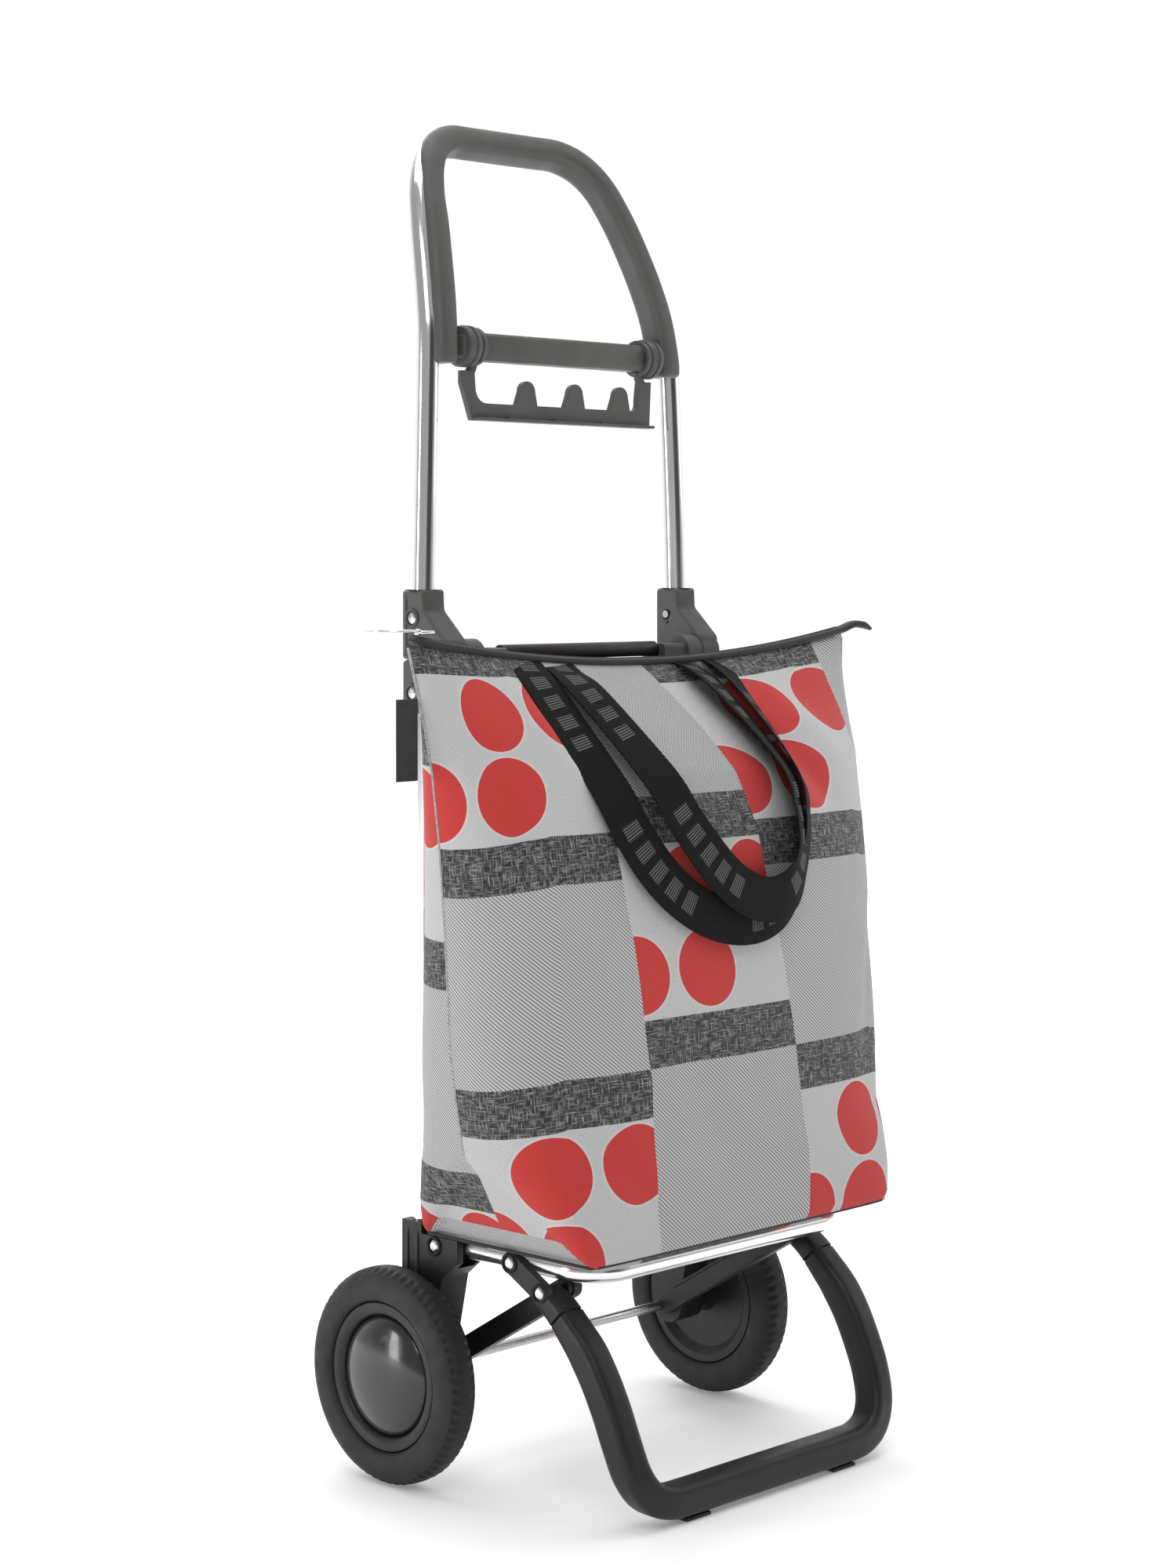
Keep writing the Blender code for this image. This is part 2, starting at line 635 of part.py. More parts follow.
def foot_hoop():
    """Front foot: two bowed legs and a floor bar in one hoop, with a flat ear at the top of each leg."""
    path = smooth_path(mirrored(FOOT_HALF), 2)
    flats = []
    deep = []
    for p in path:
        drop = 1.0 - ramp(p.z, 0.04, 0.16)
        flats.append(Vector((0.0, -0.66 - 0.30 * drop, -0.75 + 0.72 * drop)).normalized())
        deep.append(0.0085 + 0.0040 * min(1.0, drop * 3))
    obj = swept("foot_hoop", path, flats, FOOT_HALF_W, deep, BLACK_PLASTIC, 4.0, 12)
    for label, side in SIDES:
        outline = slot_outline(PIN_B, PIN_C, 0.0083)
        ear = plate(f"ear_{label}", outline, on_side(side, (0.1508, 0.1573)), None)
        join(obj, ear)
    return cut(obj, PIN_CUTS["b"], PIN_CUTS["c"])


def foot_pad(label, side):
    x_lo, x_hi = on_side(side, (PAD_X - 0.0135, PAD_X + 0.0135))
    top = FOOT_BAR_Z - 0.0125 - GAP
    return box(f"foot_pad_{label}", (x_lo, -0.2285, 0.0), (x_hi, -0.2105, top), RUBBER)


def strut(label, side):
    outline = slot_outline(PIN_D, PIN_C, 0.0085)
    obj = plate(f"strut_{label}", outline, on_side(side, STRUT_X), BLACK_PLASTIC)
    boss_x = on_side(side, (STRUT_X[0] + 0.002, 0.1328))
    boss = cylinder_x(f"strut_boss_{label}", 0.0068, boss_x, PIN_C, None, 20)
    join(obj, boss)
    return cut(obj, AXLE_CUT)


def fasteners():
    knuckle_out = SOCKET_X[1] + GAP
    bracket_out = BRACKET_X[1] + GAP
    ear_out = 0.1576
    for label, side in SIDES:
        pin(f"hinge_pin_{label}", HINGE_PIN_R, on_side(side, (0.1180, knuckle_out)), (HINGE_Y, HINGE_Z),
            head=0.0095, head_height=0.003)
        pin(f"socket_rivet_{label}", SOCKET_RIVET_R, on_side(side, (0.1320, knuckle_out)),
            (TUBE_Y, SOCKET_RIVET_Z))
        pin(f"base_rivet_{label}", BASE_RIVET_R, on_side(side, (0.1350, knuckle_out)), (TUBE_Y, BASE_RIVET_Z))
        pin(f"tray_pin_{label}", PIN_R, on_side(side, (BRACKET_X[0], bracket_out)), PIN_A)
        pin(f"foot_pin_{label}", PIN_R, on_side(side, (0.1330, ear_out)), PIN_B)
        pin(f"strut_pin_{label}", PIN_R, on_side(side, (0.1340, ear_out)), PIN_C)


# ------------------------------------------------------------------ bag
# z, x of the left and right side seams, half depth, squareness, y of the middle
BAG_LEVELS = [
    (BAG_BOTTOM_Z, -0.160, 0.183, 0.090, 8.0, BAG_Y),
    (0.196, -0.167, 0.189, 0.094, 7.0, BAG_Y),
    (0.230, -0.185, 0.206, 0.095, 4.5, BAG_Y),
    (0.268, -0.204, 0.222, 0.095, 3.2, -0.102),
    (0.340, -0.216, 0.235, 0.094, 2.6, -0.101),
    (0.420, -0.221, 0.238, 0.092, 2.3, -0.101),
    (0.500, -0.227, 0.240, 0.085, 2.1, -0.100),
    (0.550, -0.232, 0.242, 0.073, 2.0, -0.098),
    (0.585, -0.237, 0.244, 0.051, 1.9, -0.095),
    (0.615, -0.243, 0.247, 0.028, 1.8, -0.092),
    (0.640, -0.249, 0.250, 0.005, 1.8, ZIP_Y),
]


def zip_height(x):
    """Height of the closed zip, which sags between its ends."""
    return ZIP_MIDDLE_Z + (ZIP_END_Z - ZIP_MIDDLE_Z) * (x / ZIP_HALF) ** 2


def bag_ring(level, sides=32):
    z, left, right, half_d, power, middle = level
    share = max(0.0, (z - 0.50) / (0.640 - 0.50))
    ring = []
    for i in range(sides):
        angle = 2 * math.pi * i / sides
        c = math.cos(angle)
        s = math.sin(angle)
        scale = (abs(c) ** power + abs(s) ** power) ** (-1 / power)
        x = (left + right) / 2 + (right - left) / 2 * c * scale
        sag = (zip_height(x) - 0.0035 - 0.640) * share
        ring.append((x, middle + half_d * s * scale, z + sag))
    return ring


def bag_body():
    return loft("bag_body", [bag_ring(level) for level in BAG_LEVELS], FABRIC, strip_end=True)


def bag_front(x, z):
    """y of the bag's front face at a point in front view."""
    below = BAG_LEVELS[0]
    for level in BAG_LEVELS[1:]:
        share = max(0.0, (level[0] - 0.50) / 0.14)
        height = level[0] + (zip_height(x) - 0.6435) * share
        if height >= z:
            above = level
            break
        below = level
    else:
        return ZIP_Y
    t = (z - below[0]) / (above[0] - below[0])
    t = min(1.0, max(0.0, t))
    left, right, half_d, power, middle = [below[k] + (above[k] - below[k]) * t for k in range(1, 6)]
    across = min(1.0, abs(2 * x - left - right) / (right - left))
    return middle - half_d * (1 - across ** power) ** (1 / power)


def zip_tape():
    """Closed zip along the top of the bag, with a loose tail past the right seam."""
    steps = 16
    points = []
    for i in range(steps + 1):
        x = -ZIP_HALF + 0.004 + (2 * ZIP_HALF - 0.004) * i / steps
        points.append((x, ZIP_Y, zip_height(x) + ZIP_TOP - ZIP_TAPE_R))
    points += [(0.262, ZIP_Y - 0.002, 0.6535), (0.273, ZIP_Y - 0.004, 0.6530),
               (SOFT_END_X - 0.0016, ZIP_Y - 0.006, 0.6490)]
    return bar("zip_tape", points, ZIP_TAPE_R, WEBBING, 2)


def strap(name, waypoints, clear):
    """A webbing loop that leaves the zip, hangs down the front and comes back. waypoints are (x, z)."""
    start_x = waypoints[0][0]
    end_x = waypoints[-1][0]
    points = [(start_x, ZIP_Y - 0.006, zip_height(start_x) + 0.012)]
    points += [(x, bag_front(x, z) - clear, z) for x, z in waypoints]
    points += [(end_x, ZIP_Y - 0.006, zip_height(end_x) + 0.012)]
    path = smooth_path(points, 3)
    return swept(name, path, Vector((0.25, -1.0, 0.15)), 0.0160, 0.0009, WEBBING, 8.0, 8)


def straps():
    strap("strap_front", [(-0.108, 0.600), (-0.085, 0.540), (-0.050, 0.480), (0.000, 0.440), (0.040, 0.450),
                          (0.068, 0.500), (0.076, 0.560), (0.074, 0.604)], 0.016)
    strap("strap_rear", [(-0.140, 0.598), (-0.136, 0.540), (-0.120, 0.480), (-0.070, 0.432), (0.000, 0.414),
                         (0.070, 0.430), (0.106, 0.490), (0.112, 0.560), (0.108, 0.606)], 0.009)


def zip_slider():
    x = -ZIP_HALF + 0.018
    low = zip_height(x) + ZIP_TOP + 0.0014
    half_length = 0.007
    half_width = 0.0045
    obj = box("zip_slider", (x - half_length, ZIP_Y - half_width, low),
              (x + half_length, ZIP_Y + half_width, low + 0.003), STEEL, 0.001)
    return set_origin(obj, (x, ZIP_Y, low))


def puller_ring():
    major = 0.0190
    minor = 0.0012
    centre = (-SOFT_END_X + major + minor, ZIP_Y, zip_height(ZIP_HALF) + ZIP_TOP + minor + GAP)
    points = [(centre[0] + major * math.cos(a), centre[1] + major * math.sin(a), centre[2])
              for a in (2 * math.pi * i / 28 for i in range(28))]
    obj = curve_object("puller_ring", points, STEEL, cyclic=True)
    obj.data.bevel_depth = minor
    obj.data.bevel_resolution = 2
    bpy.context.view_layer.update()
    made = smooth(to_mesh(obj))
    return set_origin(made, (centre[0] + major, ZIP_Y, centre[2]))


def bag_label():
    """Small sewn-in loop label on the left side seam."""
    seam_x = -0.2418
    width = 0.021
    return box("bag_label", (seam_x - width, ZIP_Y - 0.0035, 0.545), (seam_x, ZIP_Y - 0.0025, 0.605), WEBBING)


# ------------------------------------------------------------------ assembly
def build():
    for label, side in SIDES:
        lower_tube(label, side)
        wheel_bracket(label, side)
        wheel(label, side)
        set_origin(handle_socket(label, side), (0.0, HINGE_Y, HINGE_Z))
        foot_pad(label, side)
        set_origin(strut(label, side), (0.0, *PIN_D))
    hinge_crosspiece()
    axle_and_bushes()
    release_bar()
    set_origin(handle_loop(), (0.0, HINGE_Y, HINGE_Z))
    set_origin(handle_grip(), (0.0, HINGE_Y, HINGE_Z))
    crossbar()
    set_origin(hook_rack(), (0.0, CROSSBAR_Y, RACK_AXIS_Z))
    set_origin(tray_rail(), (0.0, *PIN_A))
    tray_strip()
    set_origin(foot_hoop(), (0.0, *PIN_B))
    fasteners()
    bag_body()
    zip_tape()
    straps()
    zip_slider()
    puller_ring()
    bag_label()


build()
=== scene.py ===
"""Looks of the folding shopping trolley: its finished surfaces, materials, light and camera.

Every shape is drawn in the axle frame, as in the part's own source: x to the right, y back from the
axle, z up from the floor. put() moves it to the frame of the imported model.
"""
import math
from functools import partial

import bmesh
import bpy
import numpy as np
from mathutils import Matrix, Vector, noise


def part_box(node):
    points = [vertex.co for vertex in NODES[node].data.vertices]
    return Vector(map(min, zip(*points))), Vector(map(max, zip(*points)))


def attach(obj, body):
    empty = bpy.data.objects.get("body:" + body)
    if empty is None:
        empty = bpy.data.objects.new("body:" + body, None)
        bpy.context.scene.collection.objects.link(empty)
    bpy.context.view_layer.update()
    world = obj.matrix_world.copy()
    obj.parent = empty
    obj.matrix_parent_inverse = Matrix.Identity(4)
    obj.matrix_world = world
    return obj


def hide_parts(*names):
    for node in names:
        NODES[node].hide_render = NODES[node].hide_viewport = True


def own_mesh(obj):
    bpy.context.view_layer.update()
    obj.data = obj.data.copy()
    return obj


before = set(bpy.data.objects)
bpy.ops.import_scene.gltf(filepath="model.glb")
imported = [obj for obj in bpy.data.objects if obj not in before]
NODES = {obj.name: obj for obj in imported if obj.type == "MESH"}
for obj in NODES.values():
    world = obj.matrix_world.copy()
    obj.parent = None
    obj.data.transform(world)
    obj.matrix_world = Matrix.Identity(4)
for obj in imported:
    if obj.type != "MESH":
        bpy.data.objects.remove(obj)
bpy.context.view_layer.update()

AXLE_LO, AXLE_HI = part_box("axle_rod")
AXLE_Y = (AXLE_LO.y + AXLE_HI.y) / 2
AXLE_Z = (AXLE_LO.z + AXLE_HI.z) / 2
SHIFT = Matrix.Translation((0.0, AXLE_Y, 0.0))
SIDES = (("left", -1), ("right", 1))


# ------------------------------------------------------------------ materials
def shader_of(mat):
    return mat.node_tree.nodes["Principled BSDF"]


def feed(mat, socket, value):
    """Links value to socket where value is a socket too, else sets it as a constant."""
    if isinstance(value, bpy.types.NodeSocket):
        mat.node_tree.links.new(value, socket)
    else:
        socket.default_value = value


def feed_named(mat, node, inputs):
    for name, value in inputs.items():
        feed(mat, node.inputs[name.replace("_", " ")], value)


def surface(mat, **inputs):
    """Sets or links inputs of the material's shader."""
    feed_named(mat, shader_of(mat), inputs)


def new_material(name, colour, roughness, metallic=0.0, coat=0.0):
    mat = bpy.data.materials.new(name)
    mat.use_nodes = True
    surface(mat, Base_Color=(*colour, 1.0), Roughness=roughness, Metallic=metallic, Coat_Weight=coat)
    return mat


def add_node(mat, kind, **inputs):
    node = mat.node_tree.nodes.new(kind)
    feed_named(mat, node, inputs)
    return node


def operation_node(mat, kind, operation, *values):
    node = mat.node_tree.nodes.new(kind)
    node.operation = operation
    for socket, value in zip(node.inputs, values):
        feed(mat, socket, value)
    return node


def math_node(mat, operation, first, second=0.0):
    return operation_node(mat, "ShaderNodeMath", operation, first, second).outputs[0]


def vector_value(mat, operation, *vectors):
    """A number made from one or two vectors."""
    return operation_node(mat, "ShaderNodeVectorMath", operation, *vectors).outputs["Value"]


def mix_colour(mat, factor, first, second):
    node = mat.node_tree.nodes.new("ShaderNodeMix")
    node.data_type = "RGBA"
    for k, value in ((0, factor), (6, first), (7, second)):
        feed(mat, node.inputs[k], (*value, 1.0) if isinstance(value, tuple) else value)
    return node.outputs[2]


def stretched(mat, vector, stretch):
    return add_node(mat, "ShaderNodeMapping", Vector=vector, Scale=stretch).outputs[0]


def object_coords(mat, stretch=(1.0, 1.0, 1.0)):
    return stretched(mat, add_node(mat, "ShaderNodeTexCoord").outputs["Object"], stretch)


def noise_value(mat, vector, scale, detail=2.0):
    return add_node(mat, "ShaderNodeTexNoise", Vector=vector, Scale=scale, Detail=detail).outputs[0]


def ranged(mat, value, low, high, start=0.3, end=0.7):
    """Low where value is at start or less, high where it is at end or more."""
    node = add_node(mat, "ShaderNodeMapRange", Value=value)
    for name, number in (("From Min", start), ("From Max", end), ("To Min", low), ("To Max", high)):
        node.inputs[name].default_value = number
    return node.outputs[0]


def add_bump(mat, height, distance, strength=1.0):
    bump = add_node(mat, "ShaderNodeBump", Height=height, Distance=distance, Strength=strength)
    surface(mat, Normal=bump.outputs[0])


def tint(mat, colour, vector, scale, spread):
    """Varies the base colour a little, lighter and darker, in soft patches."""
    dark = tuple(c * (1 - spread) for c in colour)
    light = tuple(c * (1 + spread) for c in colour)
    patches = ranged(mat, noise_value(mat, vector, scale, 3.0), 0.0, 1.0)
    surface(mat, Base_Color=mix_colour(mat, patches, dark, light))


def moulded_plastic(name, colour, roughness, grain=1400.0):
    """Plastic with the fine spark grain of a mould and slightly uneven gloss."""
    mat = new_material(name, colour, roughness)
    surface(mat, Specular_IOR_Level=0.35)
    vector = object_coords(mat)
    tint(mat, colour, vector, 30.0, 0.10)
    gloss = ranged(mat, noise_value(mat, vector, 55.0, 3.0), roughness - 0.06, roughness + 0.07)
    surface(mat, Roughness=gloss)
    add_bump(mat, noise_value(mat, vector, grain, 2.0), 0.00012, 0.7)
    return mat


def polished_metal(name, colour, roughness, stretch):
    """Drawn metal: fine lines along its length, so the roughness varies across them."""
    mat = new_material(name, colour, roughness, 1.0)
    lines = noise_value(mat, object_coords(mat, stretch), 1.0, 4.0)
    surface(mat, Roughness=ranged(mat, lines, roughness * 0.8, roughness * 1.25))
    add_bump(mat, lines, 0.000004, 0.12)
    return mat


def rubber(name, colour):
    mat = new_material(name, colour, 0.62)
    surface(mat, Specular_IOR_Level=0.35)
    vector = object_coords(mat)
    tint(mat, colour, vector, 45.0, 0.22)
    surface(mat, Roughness=ranged(mat, noise_value(mat, vector, 90.0, 4.0), 0.5, 0.72))
    add_bump(mat, noise_value(mat, vector, 900.0, 3.0), 0.0002, 0.5)
    return mat


def gloss_plastic(name, colour):
    """Shiny moulded dome with faint scuffs in its gloss."""
    mat = new_material(name, colour, 0.16, coat=0.25)
    vector = object_coords(mat)
    tint(mat, colour, vector, 60.0, 0.12)
    surface(mat, Roughness=ranged(mat, noise_value(mat, vector, 140.0, 5.0), 0.12, 0.26))
    add_bump(mat, noise_value(mat, vector, 60.0, 2.0), 0.0003, 0.25)
    return mat


GREY = moulded_plastic("grey_moulding", (0.068, 0.068, 0.065), 0.48)
BLACK = moulded_plastic("black_moulding", (0.010, 0.010, 0.0095), 0.42)
ALUMINIUM = polished_metal("polished_aluminium", (0.88, 0.88, 0.89), 0.13, (700.0, 700.0, 5.0))
RAIL_METAL = polished_metal("polished_rail", (0.84, 0.84, 0.85), 0.20, (30.0, 30.0, 900.0))
STEEL = polished_metal("bright_steel", (0.62, 0.62, 0.63), 0.24, (300.0, 300.0, 300.0))
TYRE = rubber("tyre_rubber", (0.015, 0.015, 0.015))
PAD = rubber("pad_rubber", (0.012, 0.012, 0.012))
HUB_GLOSS = gloss_plastic("hub_gloss", (0.020, 0.020, 0.020))
BLACK_WHEEL = moulded_plastic("wheel_disc", (0.015, 0.015, 0.015), 0.40, 800.0)
TEETH = moulded_plastic("zip_teeth_plastic", (0.030, 0.030, 0.031), 0.30)


def stripe(mat, value, pitch, share):
    """1 over the first share of each pitch, else 0."""
    return math_node(mat, "LESS_THAN", math_node(mat, "FRACT", math_node(mat, "DIVIDE", value, pitch)), share)


def webbing(name, uv_name):
    """Black ribbed webbing with finely hatched pale blocks woven down its middle."""
    mat = new_material(name, (0.010, 0.010, 0.011), 0.78)
    surface(mat, Specular_IOR_Level=0.15)
    calc = partial(math_node, mat)
    mix = partial(mix_colour, mat)
    uv = add_node(mat, "ShaderNodeUVMap")
    uv.uv_map = uv_name
    parts = add_node(mat, "ShaderNodeSeparateXYZ", Vector=uv.outputs[0])
    across = parts.outputs[0]
    along = parts.outputs[1]
    rib = calc("SINE", calc("MULTIPLY", along, 2 * math.pi / 0.0012))
    cross_rib = calc("SINE", calc("MULTIPLY", across, 2 * math.pi / 0.0017))
    weave = calc("ADD", calc("MULTIPLY", rib, 0.5), calc("MULTIPLY", cross_rib, 0.3))
    in_bar = stripe(mat, along, 0.0021, 0.5)
    in_block = calc("MULTIPLY", stripe(mat, along, 0.0190, 0.64), stripe(mat, along, 0.152, 0.62))
    in_row = calc("LESS_THAN", calc("ABSOLUTE", across), 0.0080)
    bars = calc("MULTIPLY", calc("MULTIPLY", in_bar, in_block), in_row)
    thread = calc("ADD", calc("MULTIPLY", rib, 0.22), 0.72)
    pale = calc("MULTIPLY", bars, thread)
    fuzz = ranged(mat, noise_value(mat, uv.outputs[0], 700.0), 0.0, 1.0)
    base = mix(fuzz, (0.003, 0.003, 0.003), (0.009, 0.009, 0.009))
    surface(mat, Base_Color=mix(pale, base, (0.17, 0.17, 0.17)))
    add_bump(mat, weave, 0.0003, 0.6)
    return mat


def plain_weave(name, colour):
    """Close-woven tape or thread."""
    mat = new_material(name, colour, 0.75)
    vector = object_coords(mat)
    tint(mat, colour, vector, 500.0, 0.35)
    add_bump(mat, noise_value(mat, vector, 1500.0, 2.0), 0.0003, 0.6)
    surface(mat, Sheen_Weight=0.1)
    return mat


TAPE = plain_weave("black_tape", (0.012, 0.012, 0.012))
WEBBING = webbing("strap_webbing", "weave")
SEAM = plain_weave("seam_thread", (0.30, 0.30, 0.305))


# ------------------------------------------------------------------ the printed fabric
# The print repeats. Each column of the cloth has a spotted block, a tweed band, a twill block and a tweed
# band, one above the other, and every other column starts higher. Sizes are in metres on the cloth: across
# from the left side seam (below 0 on the rear panel), and up from the bottom edge.
PANEL_W = 0.498
COLUMN_W = 0.155
PLAIN_H = 0.130
TWEED_H = 0.036
TWILL_H = 0.142
REPEAT_H = PLAIN_H + TWILL_H + 2 * TWEED_H
FIRST_START = -0.025        # where the first column's spotted block starts
COLUMN_RISE = 0.202         # how much higher every other column starts
REAR_RISE = 0.073           # how much higher the print lies on the rear panel
DOT_R = 0.0305
DOT_ACROSS = 0.069          # pitch of the dots, across and up
DOT_UP = 0.064
DOT_LOW = 0.034             # height of the lower dots in their block
LIGHT = (0.44, 0.44, 0.445)
PALE = (0.50, 0.48, 0.48)
RED = (0.46, 0.030, 0.026)
GUSSET_W = 0.085            # across the cloth from the seam to the folded corner, at the bottom
GUSSET_H = 0.079            # from the bottom up to the fold's tip
GUSSET_TWILL_H = 0.022      # how far up the folded cloth shows its twill


def cloth_across(share, up):
    """Where the cloth's columns fall: the panel is pulled to the left towards the top."""
    first = COLUMN_W - 0.002 - 0.11 * max(0.0, up - 0.13)
    second = 2 * COLUMN_W + 0.004 - 0.17 * max(0.0, up - 0.06)
    columns = (0.0, COLUMN_W, 2 * COLUMN_W, PANEL_W)
    return float(np.interp(share * PANEL_W, (0.0, first, second, PANEL_W), columns))


def dot_distance(mat, uv, dots):
    """Distance to the nearest dot's middle."""
    nearest = None
    for dot in dots:
        value = vector_value(mat, "DISTANCE", uv, (*dot, 0.0))
        nearest = value if nearest is None else math_node(mat, "MINIMUM", nearest, value)
    return nearest


def printed_fabric():
    mat = new_material("bag_print", LIGHT, 0.88)
    calc = partial(math_node, mat)
    mix = partial(mix_colour, mat)
    uv_node = add_node(mat, "ShaderNodeUVMap")
    uv_node.uv_map = "cloth"
    uv = uv_node.outputs[0]
    parts = add_node(mat, "ShaderNodeSeparateXYZ", Vector=uv)
    across = parts.outputs[0]
    up = parts.outputs[1]

    column = calc("FLOOR", calc("DIVIDE", across, COLUMN_W))
    in_column = calc("SUBTRACT", across, calc("MULTIPLY", column, COLUMN_W))
    rise = calc("MULTIPLY", calc("FLOORED_MODULO", column, 2.0), COLUMN_RISE)
    rear_rise = calc("MULTIPLY", calc("LESS_THAN", across, 0.0), REAR_RISE)
    start = calc("ADD", calc("ADD", rise, rear_rise), FIRST_START)
    in_repeat = calc("FLOORED_MODULO", calc("SUBTRACT", up, start), REPEAT_H)
    twill_start = PLAIN_H + TWEED_H
    below_end = calc("LESS_THAN", in_repeat, twill_start + TWILL_H)
    is_twill = calc("MULTIPLY", calc("GREATER_THAN", in_repeat, twill_start), below_end)
    is_plain = calc("LESS_THAN", in_repeat, PLAIN_H)
    # the cloth folded under at the bottom corners shows its twill
    folded = calc("ADD", calc("DIVIDE", calc("ABSOLUTE", across), GUSSET_W), calc("DIVIDE", up, GUSSET_H))
    low = calc("LESS_THAN", up, GUSSET_TWILL_H)
    folded = calc("MULTIPLY", calc("LESS_THAN", folded, 1.0), low)
    is_twill = calc("MAXIMUM", is_twill, folded)
    is_plain = calc("MULTIPLY", is_plain, calc("SUBTRACT", 1.0, folded))
    # dots come in fours: two low, and two high and one pitch to the right
    place = add_node(mat, "ShaderNodeCombineXYZ", X=in_column, Y=in_repeat).outputs[0]
    middles = [(DOT_ACROSS * (k + row), DOT_LOW + DOT_UP * row) for row in (0, 1) for k in (0, 1)]
    dots = dot_distance(mat, place, middles)

    # plain cloth: pale grey, finely mottled
    mottle = ranged(mat, noise_value(mat, uv, 900.0, 2.0), 0.0, 1.0)
    plain = mix(mottle, (0.37, 0.37, 0.375), (0.50, 0.50, 0.505))
    # twill: dark and light threads on the slant
    slant = calc("ADD", across, up)
    counter = calc("SUBTRACT", across, up)
    lines = calc("SINE", calc("MULTIPLY", slant, 2 * math.pi / 0.0032))
    beads = calc("SINE", calc("MULTIPLY", counter, 2 * math.pi / 0.0021))
    threads = calc("ADD", calc("MULTIPLY", lines, 0.42), calc("MULTIPLY", beads, 0.26))
    threads = calc("ADD", threads, 0.58)
    twill = mix(threads, (0.045, 0.045, 0.047), (0.58, 0.58, 0.585))
    # tweed: dark, with broken lighter threads both ways
    warp, weft = (noise_value(mat, stretched(mat, uv, fine), 1.0)
                  for fine in ((900.0, 110.0, 1.0), (110.0, 900.0, 1.0)))
    heather = ranged(mat, calc("MAXIMUM", warp, weft), 0.0, 1.0, 0.50, 0.80)
    tweed = mix(heather, (0.016, 0.016, 0.016), (0.34, 0.34, 0.345))
    # dots: red, with a pale stitched outline
    in_dot = calc("LESS_THAN", dots, DOT_R)
    near_edge = calc("LESS_THAN", calc("ABSOLUTE", calc("SUBTRACT", dots, DOT_R)), 0.0009)
    red = mix(mottle, tuple(c * 0.86 for c in RED), tuple(c * 1.12 for c in RED))
    spotted = mix(in_dot, plain, red)
    spotted = mix(near_edge, spotted, PALE)

    cloth = mix(is_plain, mix(is_twill, tweed, twill), spotted)
    surface(mat, Base_Color=cloth)
    grain = calc("ADD", calc("MULTIPLY", threads, is_twill), calc("MULTIPLY", mottle, 0.5))
    add_bump(mat, grain, 0.0004, 0.5)
    surface(mat, Sheen_Weight=0.08)
    return mat


PRINT = printed_fabric()


# ------------------------------------------------------------------ pieces
def put(name, shape, mat, body, *nodes, slot=None, smooth_angle=0.7):
    """Makes a piece from a bmesh or mesh in the axle frame, on its body and in place of its CAD nodes."""
    mesh = shape
    if isinstance(shape, bmesh.types.BMesh):
        mesh = bpy.data.meshes.new(name)
        bmesh.ops.recalc_face_normals(shape, faces=shape.faces)
        shape.to_mesh(mesh)
        shape.free()
    mesh.transform(SHIFT)
    mesh.materials.clear()
    mesh.materials.append(mat)
    mesh.shade_smooth()
    mesh.set_sharp_from_angle(angle=smooth_angle)
    obj = bpy.data.objects.new(name, mesh)
    bpy.context.scene.collection.objects.link(obj)
    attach(obj, body)
    if nodes:
        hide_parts(*nodes)
    return obj


def curve_point(a, b, c, d, t):
    """The point at share t from b to c on the smooth curve through a, b, c and d."""
    return 0.5 * (2 * b + (c - a) * t + (2 * a - 5 * b + 4 * c - d) * t ** 2
                  + (3 * b - a - 3 * c + d) * t ** 3)


def smooth_path(points, per_span=6):
    pts = [Vector(p) for p in points]
    padded = [2 * pts[0] - pts[1]] + pts + [2 * pts[-1] - pts[-2]]
    path = []
    for i in range(1, len(padded) - 2):
        path += [curve_point(*padded[i - 1:i + 3], k / per_span) for k in range(per_span)]
    path.append(pts[-1])
    return path


def mirrored(half):
    left = [(-x, y, z) for x, y, z in half]
    middle = 1 if abs(half[-1][0]) < 1e-9 else 0
    return left[:len(left) - middle] + list(reversed(half))


def ramp(value, start, end):
    return min(1.0, max(0.0, (value - start) / (end - start)))


def sweep(bm, path, section_at, flat_at, closed=False):
    """Rings of section_at(i), a list of (across, outward), along path. flat_at(i) points outward."""
    rows = []
    count = len(path)
    for i, centre in enumerate(path):
        ahead = path[(i + 1) % count] if closed else path[min(i + 1, count - 1)]
        behind = path[i - 1] if closed or i > 0 else path[0]
        along = (ahead - behind).normalized()
        across = along.cross(flat_at(i)).normalized()
        outward = across.cross(along).normalized()
        rows.append([bm.verts.new(centre + across * u + outward * v) for u, v in section_at(i)])
    pairs = list(zip(rows, rows[1:]))
    if closed:
        pairs.append((rows[-1], rows[0]))
    for lower, upper in pairs:
        for k in range(len(lower)):
            m = (k + 1) % len(lower)
            bm.faces.new((lower[k], lower[m], upper[m], upper[k]))
    if not closed:
        bm.faces.new(list(reversed(rows[0])))
        bm.faces.new(rows[-1])
    return rows


def circle_section(radius, sides=20):
    turns = [2 * math.pi * k / sides for k in range(sides)]
    return [(radius * math.cos(a), radius * math.sin(a)) for a in turns]


def rounded_section(half_u, half_v, corner=4.0, sides=32):
    out = []
    for k in range(sides):
        angle = 2 * math.pi * (k + 0.5) / sides
        c = math.cos(angle)
        s = math.sin(angle)
        scale = (abs(c) ** corner + abs(s) ** corner) ** (-1 / corner)
        out.append((half_u * c * scale, half_v * s * scale))
    return out


def round_bar(name, path, radius, mat, body, *nodes, flat=(0.0, 1.0, 0.0), slot=None):
    bm = bmesh.new()
    section = circle_section(radius)
    sweep(bm, path, lambda i: section, lambda i: Vector(flat))
    return put(name, bm, mat, body, *nodes, slot=slot)


